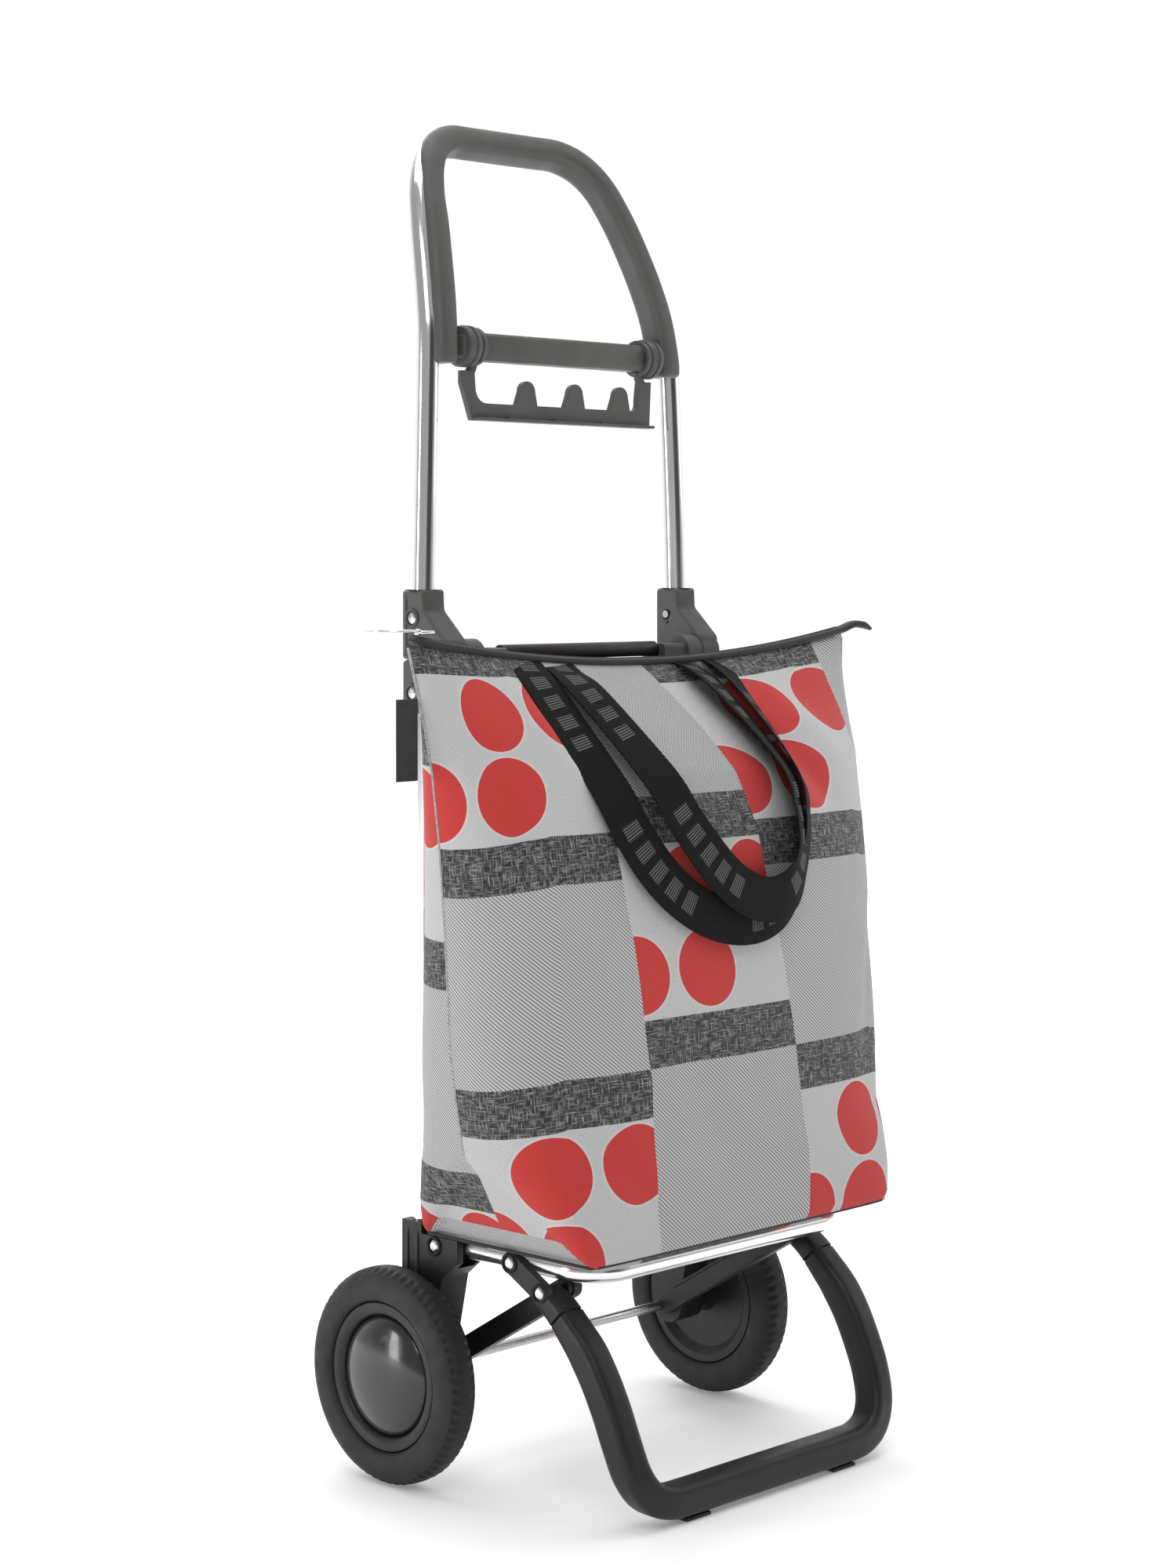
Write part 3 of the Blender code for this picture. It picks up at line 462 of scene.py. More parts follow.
def lathe(bm, profile, x_centre, side, steps=96, lug=None):
    """Turns (radius, outward) points about the axle line. lug(k, radius, outward) may move one in or out."""
    rows = []
    for k in range(steps):
        angle = 2 * math.pi * k / steps
        row = []
        for radius, outward in profile:
            r = radius if lug is None else radius + lug(k, radius, outward)
            place = (x_centre + side * outward, r * math.cos(angle), AXLE_Z + r * math.sin(angle))
            row.append(bm.verts.new(place))
        rows.append(row)
    for k in range(steps):
        row = rows[k]
        following = rows[(k + 1) % steps]
        for i in range(len(profile)):
            j = (i + 1) % len(profile)
            bm.faces.new((row[i], row[j], following[j], following[i]))


def ring_about(profile, x, y, z, side=1, steps=64):
    """A lathed ring about a line along x through y, z."""
    bm = bmesh.new()
    lathe(bm, profile, x, side, steps)
    bmesh.ops.translate(bm, vec=(0.0, y, z - AXLE_Z), verts=bm.verts)
    return bm


def rib(name, path, sizes, half_w, height, outward, mat, body, corner=3.0, sides=12):
    """A low ridge along path. sizes is its share of the full section at each point."""
    def section_at(i):
        return rounded_section(half_w * sizes[i], height * sizes[i], corner, sides)
    bm = bmesh.new()
    sweep(bm, path, section_at, lambda i: Vector(outward))
    put(name, bm, mat, body)


def soften(obj, width, segments=3, clamp=True):
    """Rounds the piece's edges."""
    rounding = obj.modifiers.new("rounding", "BEVEL")
    rounding.width = width
    rounding.segments = segments
    rounding.limit_method = "ANGLE"
    rounding.angle_limit = math.radians(28.0)
    rounding.use_clamp_overlap = clamp


def rounded_copy(node, width, mat, body, segments=3, clamp=True):
    """The CAD node's own shape with its edges rounded, standing for it."""
    mesh = NODES[node].data.copy()
    bm = bmesh.new()
    bm.from_mesh(mesh)
    bmesh.ops.remove_doubles(bm, verts=bm.verts, dist=0.00002)
    bmesh.ops.dissolve_limit(bm, angle_limit=math.radians(2.0), verts=bm.verts, edges=bm.edges)
    bm.to_mesh(mesh)
    bm.free()
    mesh.transform(SHIFT.inverted())
    obj = put(f"{node}_finish", mesh, mat, body, node)
    soften(obj, width, segments, clamp)
    return obj


# ------------------------------------------------------------------ handle
TUBE_R = 0.00875
LOOP_MIDDLE_Z = 0.900       # height of the middle of the handle's loop
SOCKET_X = 0.1571           # outer face of a handle socket and of the crosspiece's end
# right half of the handle tube's centre line, from its socket to the top
HANDLE_HALF = [(0.1452, 0.0048, 0.6565), (0.1446, 0.0049, 0.690), (0.1420, 0.0055, 0.775),
               (0.1380, 0.0075, 0.875), (0.1350, 0.0125, 0.908), (0.1300, 0.0215, 0.940),
               (0.1230, 0.0330, 0.975),
               (0.1150, 0.0435, 1.003), (0.1020, 0.0540, 1.025), (0.0850, 0.0630, 1.0400),
               (0.0630, 0.0690, 1.0480), (0.0350, 0.0705, 1.0490), (0.0, 0.0705, 1.0490)]


def grip_point(point):
    """The grip runs beside the tube: inside it up the legs, and close in front of it along the top."""
    x, _, z = point
    inward = Vector((-x, 0.0, LOOP_MIDDLE_Z - z)).normalized()
    direction = Vector((-1.0, 0.0, 0.0)).lerp(inward, ramp(z, 0.95, 1.00)).normalized()
    reach = 0.0100 - 0.0080 * ramp(z, 1.0, 1.045)
    return Vector(point) + direction * reach + Vector((0.0, -0.0035, 0.0))


def handle():
    round_bar("handle_tube_finish", smooth_path(mirrored(HANDLE_HALF), 10), TUBE_R, ALUMINIUM, "handle",
              "handle_tube")
    grip_start = 3
    half = [tuple(grip_point(p)) for p in HANDLE_HALF[grip_start:]]
    half = [(half[0][0], half[0][1] - 0.0005, 0.861)] + half
    path = smooth_path(mirrored(half), 10)
    lean = [Vector((0.0, -1.0, 0.55 * ramp(p.z, 0.88, 1.04))) for p in path]
    last = len(path) - 1

    def section_at(i):
        """Rounded over at its two ends."""
        steps_in = min(i, last - i)
        share = (0.80, 0.93, 0.98)[steps_in] if steps_in < 3 else 1.0
        return rounded_section(0.0118 * share, 0.0125 * share, 3.0, 40)
    bm = bmesh.new()
    sweep(bm, path, section_at, lambda i: lean[i])
    put("handle_grip_finish", bm, GREY, "handle", "handle_grip")
    for label, side in SIDES:
        rounded_copy(f"handle_socket_{label}", 0.0030, GREY, "handle", 5, clamp=False)
        socket_ridge(label, side)
        collar(label, side)
    rounded_copy("crossbar", 0.0012, GREY, "handle")
    rounded_copy("hook_rack", 0.0011, GREY, "hook_rack")
    rack_ribs()
    rack_eyes()


def socket_ridge(label, side):
    """Raised rib down the socket's outer face."""
    path = [Vector((side * SOCKET_X, 0.0125, z)) for z in (0.634, 0.638, 0.650, 0.664, 0.676, 0.680)]
    rib(f"socket_rib_{label}", path, (0.3, 1.0, 1.0, 1.0, 1.0, 0.3), 0.0016, 0.0011, (side, 0.0, 0.0), GREY,
        "handle", 2.5, 16)


def collar(label, side):
    """Two rings side by side that clamp the crossbar to the handle."""
    lo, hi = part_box(f"crossbar_collar_{label}")
    centre_y = (lo.y + hi.y) / 2 - AXLE_Y
    centre_z = (lo.z + hi.z) / 2
    middle = (lo.x + hi.x) / 2
    half = (hi.x - lo.x) / 2
    r = (hi.z - lo.z) / 2
    profile = [(r - 0.0035, half), (r - 0.0012, half - 0.0006), (r, half - 0.0024), (r, 0.0016),
               (r - 0.0016, 0.0006), (r - 0.0016, -0.0006), (r, -0.0016), (r, -half + 0.0024),
               (r - 0.0012, -half + 0.0006), (r - 0.0035, -half), (r - 0.0060, -half + 0.0004),
               (r - 0.0060, half - 0.0004)]
    bm = ring_about(profile, middle, centre_y, centre_z)
    put(f"collar_finish_{label}", bm, GREY, "handle", f"crossbar_collar_{label}")


def rack_eyes():
    """The rings that hang the rack on the crossbar, each with a neck down to its arm."""
    lo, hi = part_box("crossbar")
    centre_y = (lo.y + hi.y) / 2 - AXLE_Y
    centre_z = (lo.z + hi.z) / 2
    profile = [(0.0150, 0.0022), (0.0154, 0.0012), (0.0154, -0.0012), (0.0150, -0.0022), (0.0118, -0.0022),
               (0.0118, 0.0022)]
    for label, side in SIDES:
        bm = ring_about(profile, side * 0.0945, centre_y, centre_z)
        neck = smooth_path([(side * 0.0948, 0.0018, 0.8640), (side * 0.0962, 0.0020, 0.8580),
                            (side * 0.1000, 0.0020, 0.8530), (side * 0.1020, 0.0020, 0.8470)])
        section = rounded_section(0.0040, 0.0025, 3.0, 24)
        sweep(bm, neck, lambda i: section, lambda i: Vector((0.0, -1.0, 0.0)))
        put(f"rack_eye_{label}", bm, GREY, "hook_rack")


def rack_ribs():
    """Low ribs across the rack's trough, one beside each hook."""
    for k, x in enumerate((-0.062, -0.010, 0.045)):
        path = [Vector((x, y, 0.8200)) for y in (-0.0066, -0.0040, -0.0012)]
        rib(f"rack_rib_{k}", path, (1.0, 1.0, 1.0), 0.0007, 0.0011, (0.0, 0.0, 1.0), GREY, "hook_rack")


# ------------------------------------------------------------------ lower frame
TUBE_Y = 0.0048             # y of the lower tubes' centre lines
TRAY_PIN = (-0.0207, 0.180)         # y, z of the pins
FOOT_PIN = (-0.1027, 0.180)
STRUT_PIN = (-0.1345, 0.1625)


def lower_frame():
    for label, side in SIDES:
        lo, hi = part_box(f"lower_tube_{label}")
        x = (lo.x + hi.x) / 2
        path = [Vector((x, TUBE_Y, lo.z + (hi.z - lo.z) * k / 12)) for k in range(13)]
        round_bar(f"lower_tube_finish_{label}", path, TUBE_R, ALUMINIUM, "lower_frame", f"lower_tube_{label}")
        rounded_copy(f"wheel_bracket_{label}", 0.0014, BLACK, "lower_frame")
        bracket_ribs(label, side)
        rounded_copy(f"strut_{label}", 0.0009, BLACK, "struts")
        strut_flanges(label, side)
    rounded_copy("hinge_crosspiece", 0.0030, GREY, "lower_frame", 5)
    rounded_copy("release_bar", 0.0006, BLACK, "release_bar")
    for label, side in SIDES:
        for kind in ("axle_clip", "base_rivet", "hinge_pin", "tray_pin"):
            repaint(f"{kind}_{label}", STEEL)
        for kind in ("socket_rivet", "foot_pin", "strut_pin"):
            repaint(f"{kind}_{label}", STEEL)
        repaint(f"axle_spacer_{label}", BLACK)
        rivet_rims(label, side)
    repaint("axle_rod", STEEL)


def repaint(node, mat):
    """A small CAD piece keeps its shape and takes the finished material."""
    for slot in NODES[node].material_slots:
        slot.material = mat


def rim(name, centre, outer, inner, x, side, body, mat):
    """A raised ring round a pin's head."""
    mid = (outer + inner) / 2
    profile = [(inner, 0.0), (inner, 0.0010), (mid, 0.0018), (outer, 0.0010), (outer, 0.0), (mid, -0.0002)]
    put(name, ring_about(profile, x, *centre, side, 32), mat, body)


def rivet_rims(label, side):
    for kind, centre, outer, x, body, mat in (("tray_pin", TRAY_PIN, 0.0078, 0.1576, "lower_frame", BLACK),
                                              ("foot_pin", FOOT_PIN, 0.0076, 0.1574, "foot", BLACK),
                                              ("strut_pin", STRUT_PIN, 0.0076, 0.1574, "foot", BLACK),
                                              ("socket", (TUBE_Y, 0.662), 0.0074, SOCKET_X, "handle", GREY),
                                              ("base", (TUBE_Y, 0.604), 0.0074, SOCKET_X, "lower_frame", GREY)):
        rim(f"{kind}_rim_{label}", centre, outer, 0.0054, side * x, side, body, mat)


def bracket_ribs(label, side):
    """Two upright ribs on the bracket's outer face."""
    for k, y in enumerate((-0.0015, 0.0095)):
        path = [Vector((side * 0.1575, y, z)) for z in (0.112, 0.118, 0.150, 0.184, 0.190)]
        rib(f"bracket_rib_{label}_{k}", path, (0.2, 1.0, 1.0, 1.0, 0.2), 0.0013, 0.0012, (side, 0.0, 0.0),
            BLACK, "lower_frame")


def strut_flanges(label, side):
    """Raised edges that make the strut a channel, open to the inside."""
    start = Vector((0.0, 0.0, AXLE_Z))
    end = Vector((0.0, *STRUT_PIN))
    along = (end - start).normalized()
    normal = Vector((0.0, -along.z, along.y))
    for k, way in enumerate((-1, 1)):
        offset = normal * (0.0073 * way) + Vector((side * 0.1200, 0.0, 0.0))
        path = [start + along * (0.020 + 0.110 * t) + offset for t in (0.0, 0.04, 0.5, 0.96, 1.0)]
        rib(f"strut_flange_{label}_{k}", path, (0.3, 1.0, 1.0, 1.0, 0.3), 0.0010, 0.0016, (side, 0.0, 0.0),
            BLACK, "struts")


# ------------------------------------------------------------------ wheels
LUGS = 66
LUG_STEPS = 6


def tread(k, radius, outward):
    """Pits round the tyre's shoulders, and a fine zigzag across its crown."""
    phase = (k % LUG_STEPS) / LUG_STEPS
    wave = 0.5 - 0.5 * math.cos(2 * math.pi * phase)
    if 0.0795 < radius < 0.0822:
        return -0.0017 * ramp(wave, 0.35, 0.8)
    if radius > 0.0815:
        zigzag = 0.5 + 0.5 * math.cos(2 * math.pi * phase * 2 + outward * 900)
        return -0.0006 * zigzag
    return 0.0


def tyre_profile():
    """One closed section of the tyre, from its outer bead round the crown to its inner bead."""
    half = [(0.0572, 0.0118), (0.0590, 0.0138), (0.0625, 0.0148), (0.0675, 0.0150), (0.0720, 0.0146),
            (0.0752, 0.0137), (0.0772, 0.0127), (0.0786, 0.0117), (0.0797, 0.0106), (0.0806, 0.0094),
            (0.0813, 0.0081), (0.0819, 0.0066), (0.0822, 0.0050), (0.0824, 0.0030), (0.0825, 0.0010)]
    return half + [(r, -w) for r, w in reversed(half)] + [(0.0571, -0.0060), (0.0571, 0.0060)]


# (radius, outward) sections of the wheel disc and of the inside of its cap
HUB = [(0.0566, 0.0102), (0.0560, 0.0114), (0.0544, 0.0119), (0.0500, 0.0112), (0.0478, 0.0096),
       (0.0464, 0.0080), (0.0458, 0.0050), (0.0455, 0.0022), (0.0140, 0.0020), (0.0130, 0.0080),
       (0.0043, 0.0080), (0.0043, -0.0145), (0.0120, -0.0145), (0.0140, -0.0060), (0.0440, -0.0060),
       (0.0500, -0.0120), (0.0560, -0.0116), (0.0566, -0.0100)]
CAP_INSIDE = [(0.0440, 0.0036), (0.0425, 0.0045), (0.0330, 0.0108), (0.0180, 0.0150), (0.0004, 0.0164)]
DOME_R = 0.0452


def wheels():
    turns = [math.radians(90 * k / 16) for k in range(1, 17)]
    dome = [(DOME_R * math.sin(a), 0.0060 + 0.0128 * math.cos(a) ** 1.15) for a in turns]
    cap = [(0.0004, 0.0188)] + dome + [(DOME_R, 0.0040)] + CAP_INSIDE
    for label, side in SIDES:
        lo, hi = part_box(f"tyre_{label}")
        x = (lo.x + hi.x) / 2
        body = f"wheel_{label}"
        bm = bmesh.new()
        lathe(bm, tyre_profile(), x, side, LUGS * LUG_STEPS, tread)
        put(f"tyre_finish_{label}", bm, TYRE, body, f"tyre_{label}", smooth_angle=1.2)
        bm = bmesh.new()
        lathe(bm, HUB, x, side)
        put(f"hub_finish_{label}", bm, BLACK_WHEEL, body, f"wheel_hub_{label}", smooth_angle=0.6)
        bm = bmesh.new()
        lathe(bm, cap, x, side)
        put(f"hub_cap_finish_{label}", bm, HUB_GLOSS, body, f"hub_cap_{label}", smooth_angle=0.9)


# ------------------------------------------------------------------ tray and foot
TRAY_X = 0.1422
TRAY_Z = 0.180
# right half of the foot's centre line, from its pivot to the middle of the floor bar
FOOT_X = 0.1454
FOOT_HALF = [(FOOT_X, -0.1310, 0.1600), (FOOT_X, -0.1460, 0.1500), (FOOT_X, -0.1600, 0.1365),
             (FOOT_X, -0.1725, 0.1235), (0.1453, -0.1850, 0.1060), (0.1448, -0.1965, 0.0845),
             (0.1440, -0.2060, 0.0620), (0.1400, -0.2130, 0.0400), (0.1290, -0.2170, 0.0240),
             (0.1110, -0.2190, 0.0165), (0.0880, -0.2195, 0.0155), (0.0450, -0.2195, 0.0155),
             (0.0, -0.2195, 0.0155)]


def tray():
    corner_r = 0.030
    corner = (TRAY_X - corner_r, -0.178 + corner_r)
    bend = []
    for k in range(25):
        angle = math.radians(-90 * k / 24)
        bend.append((corner[0] + corner_r * math.cos(angle), corner[1] + corner_r * math.sin(angle), TRAY_Z))
    half = [(TRAY_X, -0.0137, TRAY_Z), (TRAY_X, -0.060, TRAY_Z)] + bend
    path = [Vector(p) for p in mirrored(half)]
    round_bar("tray_rail_finish", path, 0.008, RAIL_METAL, "tray", "tray_rail", flat=(0.0, 0.0, 1.0))
    rounded_copy("tray_strip", 0.0005, RAIL_METAL, "tray")


def foot():
    """The hoop is flat on its inner and outer faces. At each side an ear joins its two pins."""
    path = smooth_path(mirrored(FOOT_HALF), 10)
    drops = [1.0 - ramp(p.z, 0.04, 0.16) for p in path]
    flats = [Vector((0.0, -0.66 - 0.30 * d, -0.75 + 0.72 * d)) for d in drops]
    deep = [0.0085 + 0.0040 * min(1.0, d * 3) for d in drops]
    bm = bmesh.new()
    sweep(bm, path, lambda i: rounded_section(0.0121, deep[i], 4.4, 44), lambda i: flats[i])
    put("foot_hoop_finish", bm, BLACK, "foot", slot="black_plastic")
    for label, side in SIDES:
        bm = bmesh.new()
        link_plate(bm, FOOT_PIN, STRUT_PIN, 0.0083, side * 0.15405, 0.0032)
        ear = put(f"foot_ear_{label}", bm, BLACK, "foot")
        soften(ear, 0.001)
        rounded_copy(f"foot_pad_{label}", 0.0008, PAD, "foot")
    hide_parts("foot_hoop")


def link_plate(bm, start, end, radius, x_middle, half_thick):
    """A flat link with round ends about two (y, z) points."""
    heading = math.atan2(end[1] - start[1], end[0] - start[0])
    outline = []
    for centre, first in ((end, heading - math.pi / 2), (start, heading + math.pi / 2)):
        for k in range(17):
            angle = first + math.pi * k / 16
            outline.append((centre[0] + radius * math.cos(angle), centre[1] + radius * math.sin(angle)))
    faces = []
    for x in (x_middle - half_thick, x_middle + half_thick):
        faces.append([bm.verts.new((x, y, z)) for y, z in outline])
    low, high = faces
    bm.faces.new(low)
    bm.faces.new(list(reversed(high)))
    for k in range(len(outline)):
        m = (k + 1) % len(outline)
        bm.faces.new((low[k], high[k], high[m], low[m]))


# ------------------------------------------------------------------ bag
# z, x of the left and right side seams, half depth, squareness, y of the middle
BAG_LEVELS = np.array([
    (0.1888, -0.160, 0.183, 0.090, 8.0, -0.103),
    (0.196, -0.167, 0.189, 0.094, 7.0, -0.103),
    (0.230, -0.185, 0.206, 0.095, 4.5, -0.103),
    (0.268, -0.204, 0.222, 0.095, 3.2, -0.102),
    (0.340, -0.216, 0.235, 0.094, 2.6, -0.101),
    (0.420, -0.221, 0.238, 0.092, 2.3, -0.101),
    (0.500, -0.227, 0.240, 0.085, 2.1, -0.100),
    (0.550, -0.232, 0.242, 0.073, 2.0, -0.098),
    (0.585, -0.237, 0.244, 0.051, 1.9, -0.095),
    (0.615, -0.243, 0.247, 0.028, 1.8, -0.092),
    (0.640, -0.249, 0.250, 0.005, 1.8, -0.090),
])
BAG_BOTTOM_Z = 0.1888
SAG_START_Z = 0.50          # above this the bag's rows sag with the zip
BAG_TOP_Z = 0.640
SEAM_TOP_Z = 0.6435         # height at the zip from which its sag is measured, outside the cloth
ZIP_HALF = 0.250
ZIP_Y = -0.090
APEX_Z = 0.268              # top of the folded triangle at each bottom corner
SIDE_FLAT = 0.080           # half depth of that triangle at the bottom
HALF_RING = 120
BAG_ROWS = 110


def zip_height(x):
    return 0.624 + 0.022 * (x / ZIP_HALF) ** 2


def smooth_levels(count):
    """BAG_LEVELS with many rows between them, on smooth curves."""
    padded = np.vstack([2 * BAG_LEVELS[0] - BAG_LEVELS[1], BAG_LEVELS, 2 * BAG_LEVELS[-1] - BAG_LEVELS[-2]])
    rows = []
    for z in np.linspace(BAG_LEVELS[0, 0], BAG_LEVELS[-1, 0], count):
        i = min(int(np.searchsorted(BAG_LEVELS[:, 0], z, side="right")), len(BAG_LEVELS) - 1)
        a, b, c, d = padded[i - 1:i + 3]
        t = (z - b[0]) / (c[0] - b[0])
        row = 0.45 * curve_point(a, b, c, d, t) + 0.55 * (b + (c - b) * t)
        row[0] = z
        rows.append(row)
    return rows


def flatten_with_handle(piece):
    """Gives the piece its own copy of its mesh; its shape stays as it is."""
    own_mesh(piece)
    return piece


def half_outline(level, way):
    """x, y of one panel from the left seam to the right seam, evenly spaced along the cloth."""
    z, left, right, half_d, power, middle = level
    flat = SIDE_FLAT * (1.0 - ramp(z, BAG_LEVELS[0, 0], APEX_Z)) ** 1.1
    angles = np.linspace(math.pi, 0.0, 400)
    c = np.cos(angles)
    s = np.sin(angles)
    x = (left + right) / 2 + (right - left) / 2 * np.sign(c) * np.abs(c) ** (2 / power)
    bulge = flat + (half_d - flat) * np.abs(s) ** (2 / power)
    x = np.concatenate([[left], x, [right]])
    y = middle + way * np.concatenate([[0.0], bulge, [0.0]])
    run = np.concatenate([[0.0], np.cumsum(np.hypot(np.diff(x), np.diff(y)))])
    even = np.linspace(0.0, run[-1], HALF_RING + 1)
    return np.interp(even, run, x), np.interp(even, run, y)


def bag_points(way):
    """Grid of points, rows from the bottom up, of the front (way -1) or rear (way 1) panel."""
    grid = np.zeros((BAG_ROWS, HALF_RING + 1, 3))
    for i, level in enumerate(smooth_levels(BAG_ROWS)):
        x, y = half_outline(level, way)
        share = ramp(level[0], SAG_START_Z, BAG_TOP_Z)
        sag = (zip_height(x) + 0.0005 - BAG_TOP_Z) * share
        grid[i, :, 0] = x
        grid[i, :, 1] = y
        grid[i, :, 2] = level[0] + sag
    return grid


def crease(x, z, start, end, width):
    """How deep a fold from start to end, both (x, z), is at each point: 1 in the middle, 0 past its width."""
    a = np.array(start)
    b = np.array(end)
    along = b - a
    t = np.clip(((x - a[0]) * along[0] + (z - a[1]) * along[1]) / (along @ along), 0.0, 1.0)
    away = np.hypot(x - (a[0] + t * along[0]), z - (a[1] + t * along[1]))
    taper = np.sin(np.pi * np.clip(t * 0.85 + 0.12, 0.0, 1.0))
    return np.exp(-(away / width) ** 2) * taper


# folds of the front panel: start and end as (x, z), width, depth (outward is negative)
FRONT_FOLDS = (
    ((-0.132, 0.618), (-0.072, 0.455), 0.013, 0.0110),
    ((-0.162, 0.610), (-0.128, 0.500), 0.014, -0.0060),
    ((0.048, 0.610), (0.160, 0.500), 0.015, 0.0080),
    ((0.110, 0.612), (0.190, 0.530), 0.016, -0.0050),
    ((-0.205, 0.560), (-0.170, 0.470), 0.013, 0.0055),
    ((0.170, 0.300), (0.222, 0.430), 0.015, 0.0060),
    ((-0.150, 0.290), (-0.075, 0.195), 0.012, 0.0028),
    ((-0.060, 0.340), (0.010, 0.230), 0.024, 0.0045),
)
REAR_FOLDS = (
    ((-0.120, 0.590), (-0.060, 0.450), 0.020, 0.0050),
    ((0.130, 0.580), (0.080, 0.430), 0.020, 0.0045),
    ((-0.190, 0.420), (-0.150, 0.300), 0.018, 0.0040),
)


def tuck_corners(grid):
    """The triangle folded under at each bottom corner lies deeper than the panel beside it."""
    across = np.arange(HALF_RING + 1) / HALF_RING * PANEL_W
    across = np.minimum(across, PANEL_W - across)
    up = grid[:, :, 2] - BAG_LEVELS[0, 0]
    inside = 1.0 - across[None, :] / GUSSET_W - up / GUSSET_H
    depth = 0.0065 * np.clip(inside / 0.10, 0.0, 1.0) * np.clip((GUSSET_H - up) / 0.02, 0.0, 1.0)
    grid[:, :, 0] -= np.sign(grid[:, :, 0]) * depth


def crumple(grid, folds, way):
    """Folds and slight unevenness, pushed in along y."""
    x = grid[:, :, 0]
    z = grid[:, :, 2]
    push = np.zeros_like(x)
    for start, end, width, depth in folds:
        push += depth * crease(x, z, start, end, width)
    soft = np.zeros_like(x)
    for i in range(x.shape[0]):
        for j in range(x.shape[1]):
            spot = Vector((x[i, j] * 9.0, way * 3.0, z[i, j] * 7.0))
            soft[i, j] = noise.noise(spot) * 0.0026 + noise.noise(spot * 3.1) * 0.0009
    seam_fade = np.clip((np.arange(HALF_RING + 1) / HALF_RING) * 9.0, 0.0, 1.0)
    seam_fade = np.minimum(seam_fade, seam_fade[::-1])
    low_fade = np.clip((z - BAG_BOTTOM_Z) / 0.03, 0.0, 1.0)
    top_fade = np.clip((BAG_TOP_Z - z) / 0.03, 0.15, 1.0)
    grid[:, :, 1] -= way * (push + soft) * seam_fade[None, :] * low_fade * top_fade


def climb_of(grid):
    """Distance up the cloth from the bottom edge, at each point of a smooth panel."""
    steps = np.linalg.norm(np.diff(grid, axis=0), axis=2)
    return np.vstack([np.zeros(HALF_RING + 1), np.cumsum(steps, axis=0)])


def bag_body():
    front = bag_points(-1)
    rear = bag_points(1)
    climbs = [climb_of(front), climb_of(rear)]
    crumple(front, FRONT_FOLDS, -1)
    crumple(rear, REAR_FOLDS, 1)
    tuck_corners(front)
    tuck_corners(rear)
    bm = bmesh.new()
    cloth = bm.loops.layers.uv.new("cloth")
    front_verts = [[bm.verts.new(p) for p in row] for row in front]
    rear_verts = [[front_verts[i][0]] + [bm.verts.new(p) for p in rear[i][1:-1]] + [front_verts[i][-1]]
                  for i in range(BAG_ROWS)]
    for climb, verts, way in ((climbs[0], front_verts, 1), (climbs[1], rear_verts, -1)):
        for i in range(BAG_ROWS - 1):
            for j in range(HALF_RING):
                corners = [(i, j), (i, j + 1), (i + 1, j + 1), (i + 1, j)]
                face = bm.faces.new([verts[a][b] for a, b in corners])
                for loop, (a, b) in zip(face.loops, corners):
                    place = cloth_across(b / HALF_RING, climb[a, b])
                    loop[cloth].uv = (way * place, climb[a, b])
    bottom = bm.faces.new(front_verts[0] + list(reversed(rear_verts[0][1:-1])))
    for loop in bottom.loops:
        loop[cloth].uv = (loop.vert.co.x + 0.25, 0.17 + loop.vert.co.y)
    for j in range(HALF_RING):
        fill_between(bm, front_verts[-1], rear_verts[-1], j, cloth)
    flatten_with_handle(put("bag_cloth", bm, PRINT, "lower_frame", "bag_body", smooth_angle=1.3))


def fill_between(bm, first, second, j, cloth):
    """Closes the top between the two panels, under the zip."""
    corners = []
    for vert in (first[j], first[j + 1], second[j + 1], second[j]):
        if vert not in corners:
            corners.append(vert)
    face = bm.faces.new(corners)
    for loop in face.loops:
        loop[cloth].uv = (0.1, 0.5)


def bag_front(x, z):
    """y of the front panel at a place in front view."""
    _, left, right, half_d, power, middle = smooth_level_at(x, z)
    across = min(1.0, abs(2 * x - left - right) / (right - left))
    return middle - half_d * (1 - across ** power) ** (1 / power)


def smooth_level_at(x, z):
    """The bag's section whose height, after the zip's sag, is z at x."""
    height = z
    for _ in range(6):
        height = z - (zip_height(x) - SEAM_TOP_Z) * ramp(height, SAG_START_Z, BAG_TOP_Z)
    height = min(height, float(BAG_LEVELS[-1, 0]))
    return [float(np.interp(height, BAG_LEVELS[:, 0], BAG_LEVELS[:, k])) for k in range(6)]


# ------------------------------------------------------------------ bag trimmings
def seams():
    """Side seams from the folded corners up to the zip, and the bound edge round the bottom."""
    levels = [level for level in smooth_levels(BAG_ROWS) if level[0] > APEX_Z - 0.004]
    for label, side in SIDES:
        column = 1 if side < 0 else 2
        path = []
        for level in levels:
            x = level[column]
            z = level[0] + (zip_height(x) - SEAM_TOP_Z) * ramp(level[0], SAG_START_Z, BAG_TOP_Z)
            path.append(Vector((x - side * 0.0004, level[5], z)))
        seam = round_bar(f"bag_seam_{label}", path, 0.0011, SEAM, "lower_frame", slot="bag_fabric")
        flatten_with_handle(seam)
    front_x, front_y = half_outline(BAG_LEVELS[0], -1)
    rear_x, rear_y = half_outline(BAG_LEVELS[0], 1)
    ring = [Vector((x, y, 0.1902)) for x, y in zip(front_x[::2], front_y[::2])]
    ring += [Vector((x, y, 0.1902)) for x, y in zip(rear_x[::-2][1:-1], rear_y[::-2][1:-1])]
    bm = bmesh.new()
    section = circle_section(0.0013, 10)
    sweep(bm, ring, lambda i: section, lambda i: Vector((0.0, 0.0, 1.0)), closed=True)
    flatten_with_handle(put("bag_bottom_binding", bm, TAPE, "lower_frame", slot="black_webbing"))


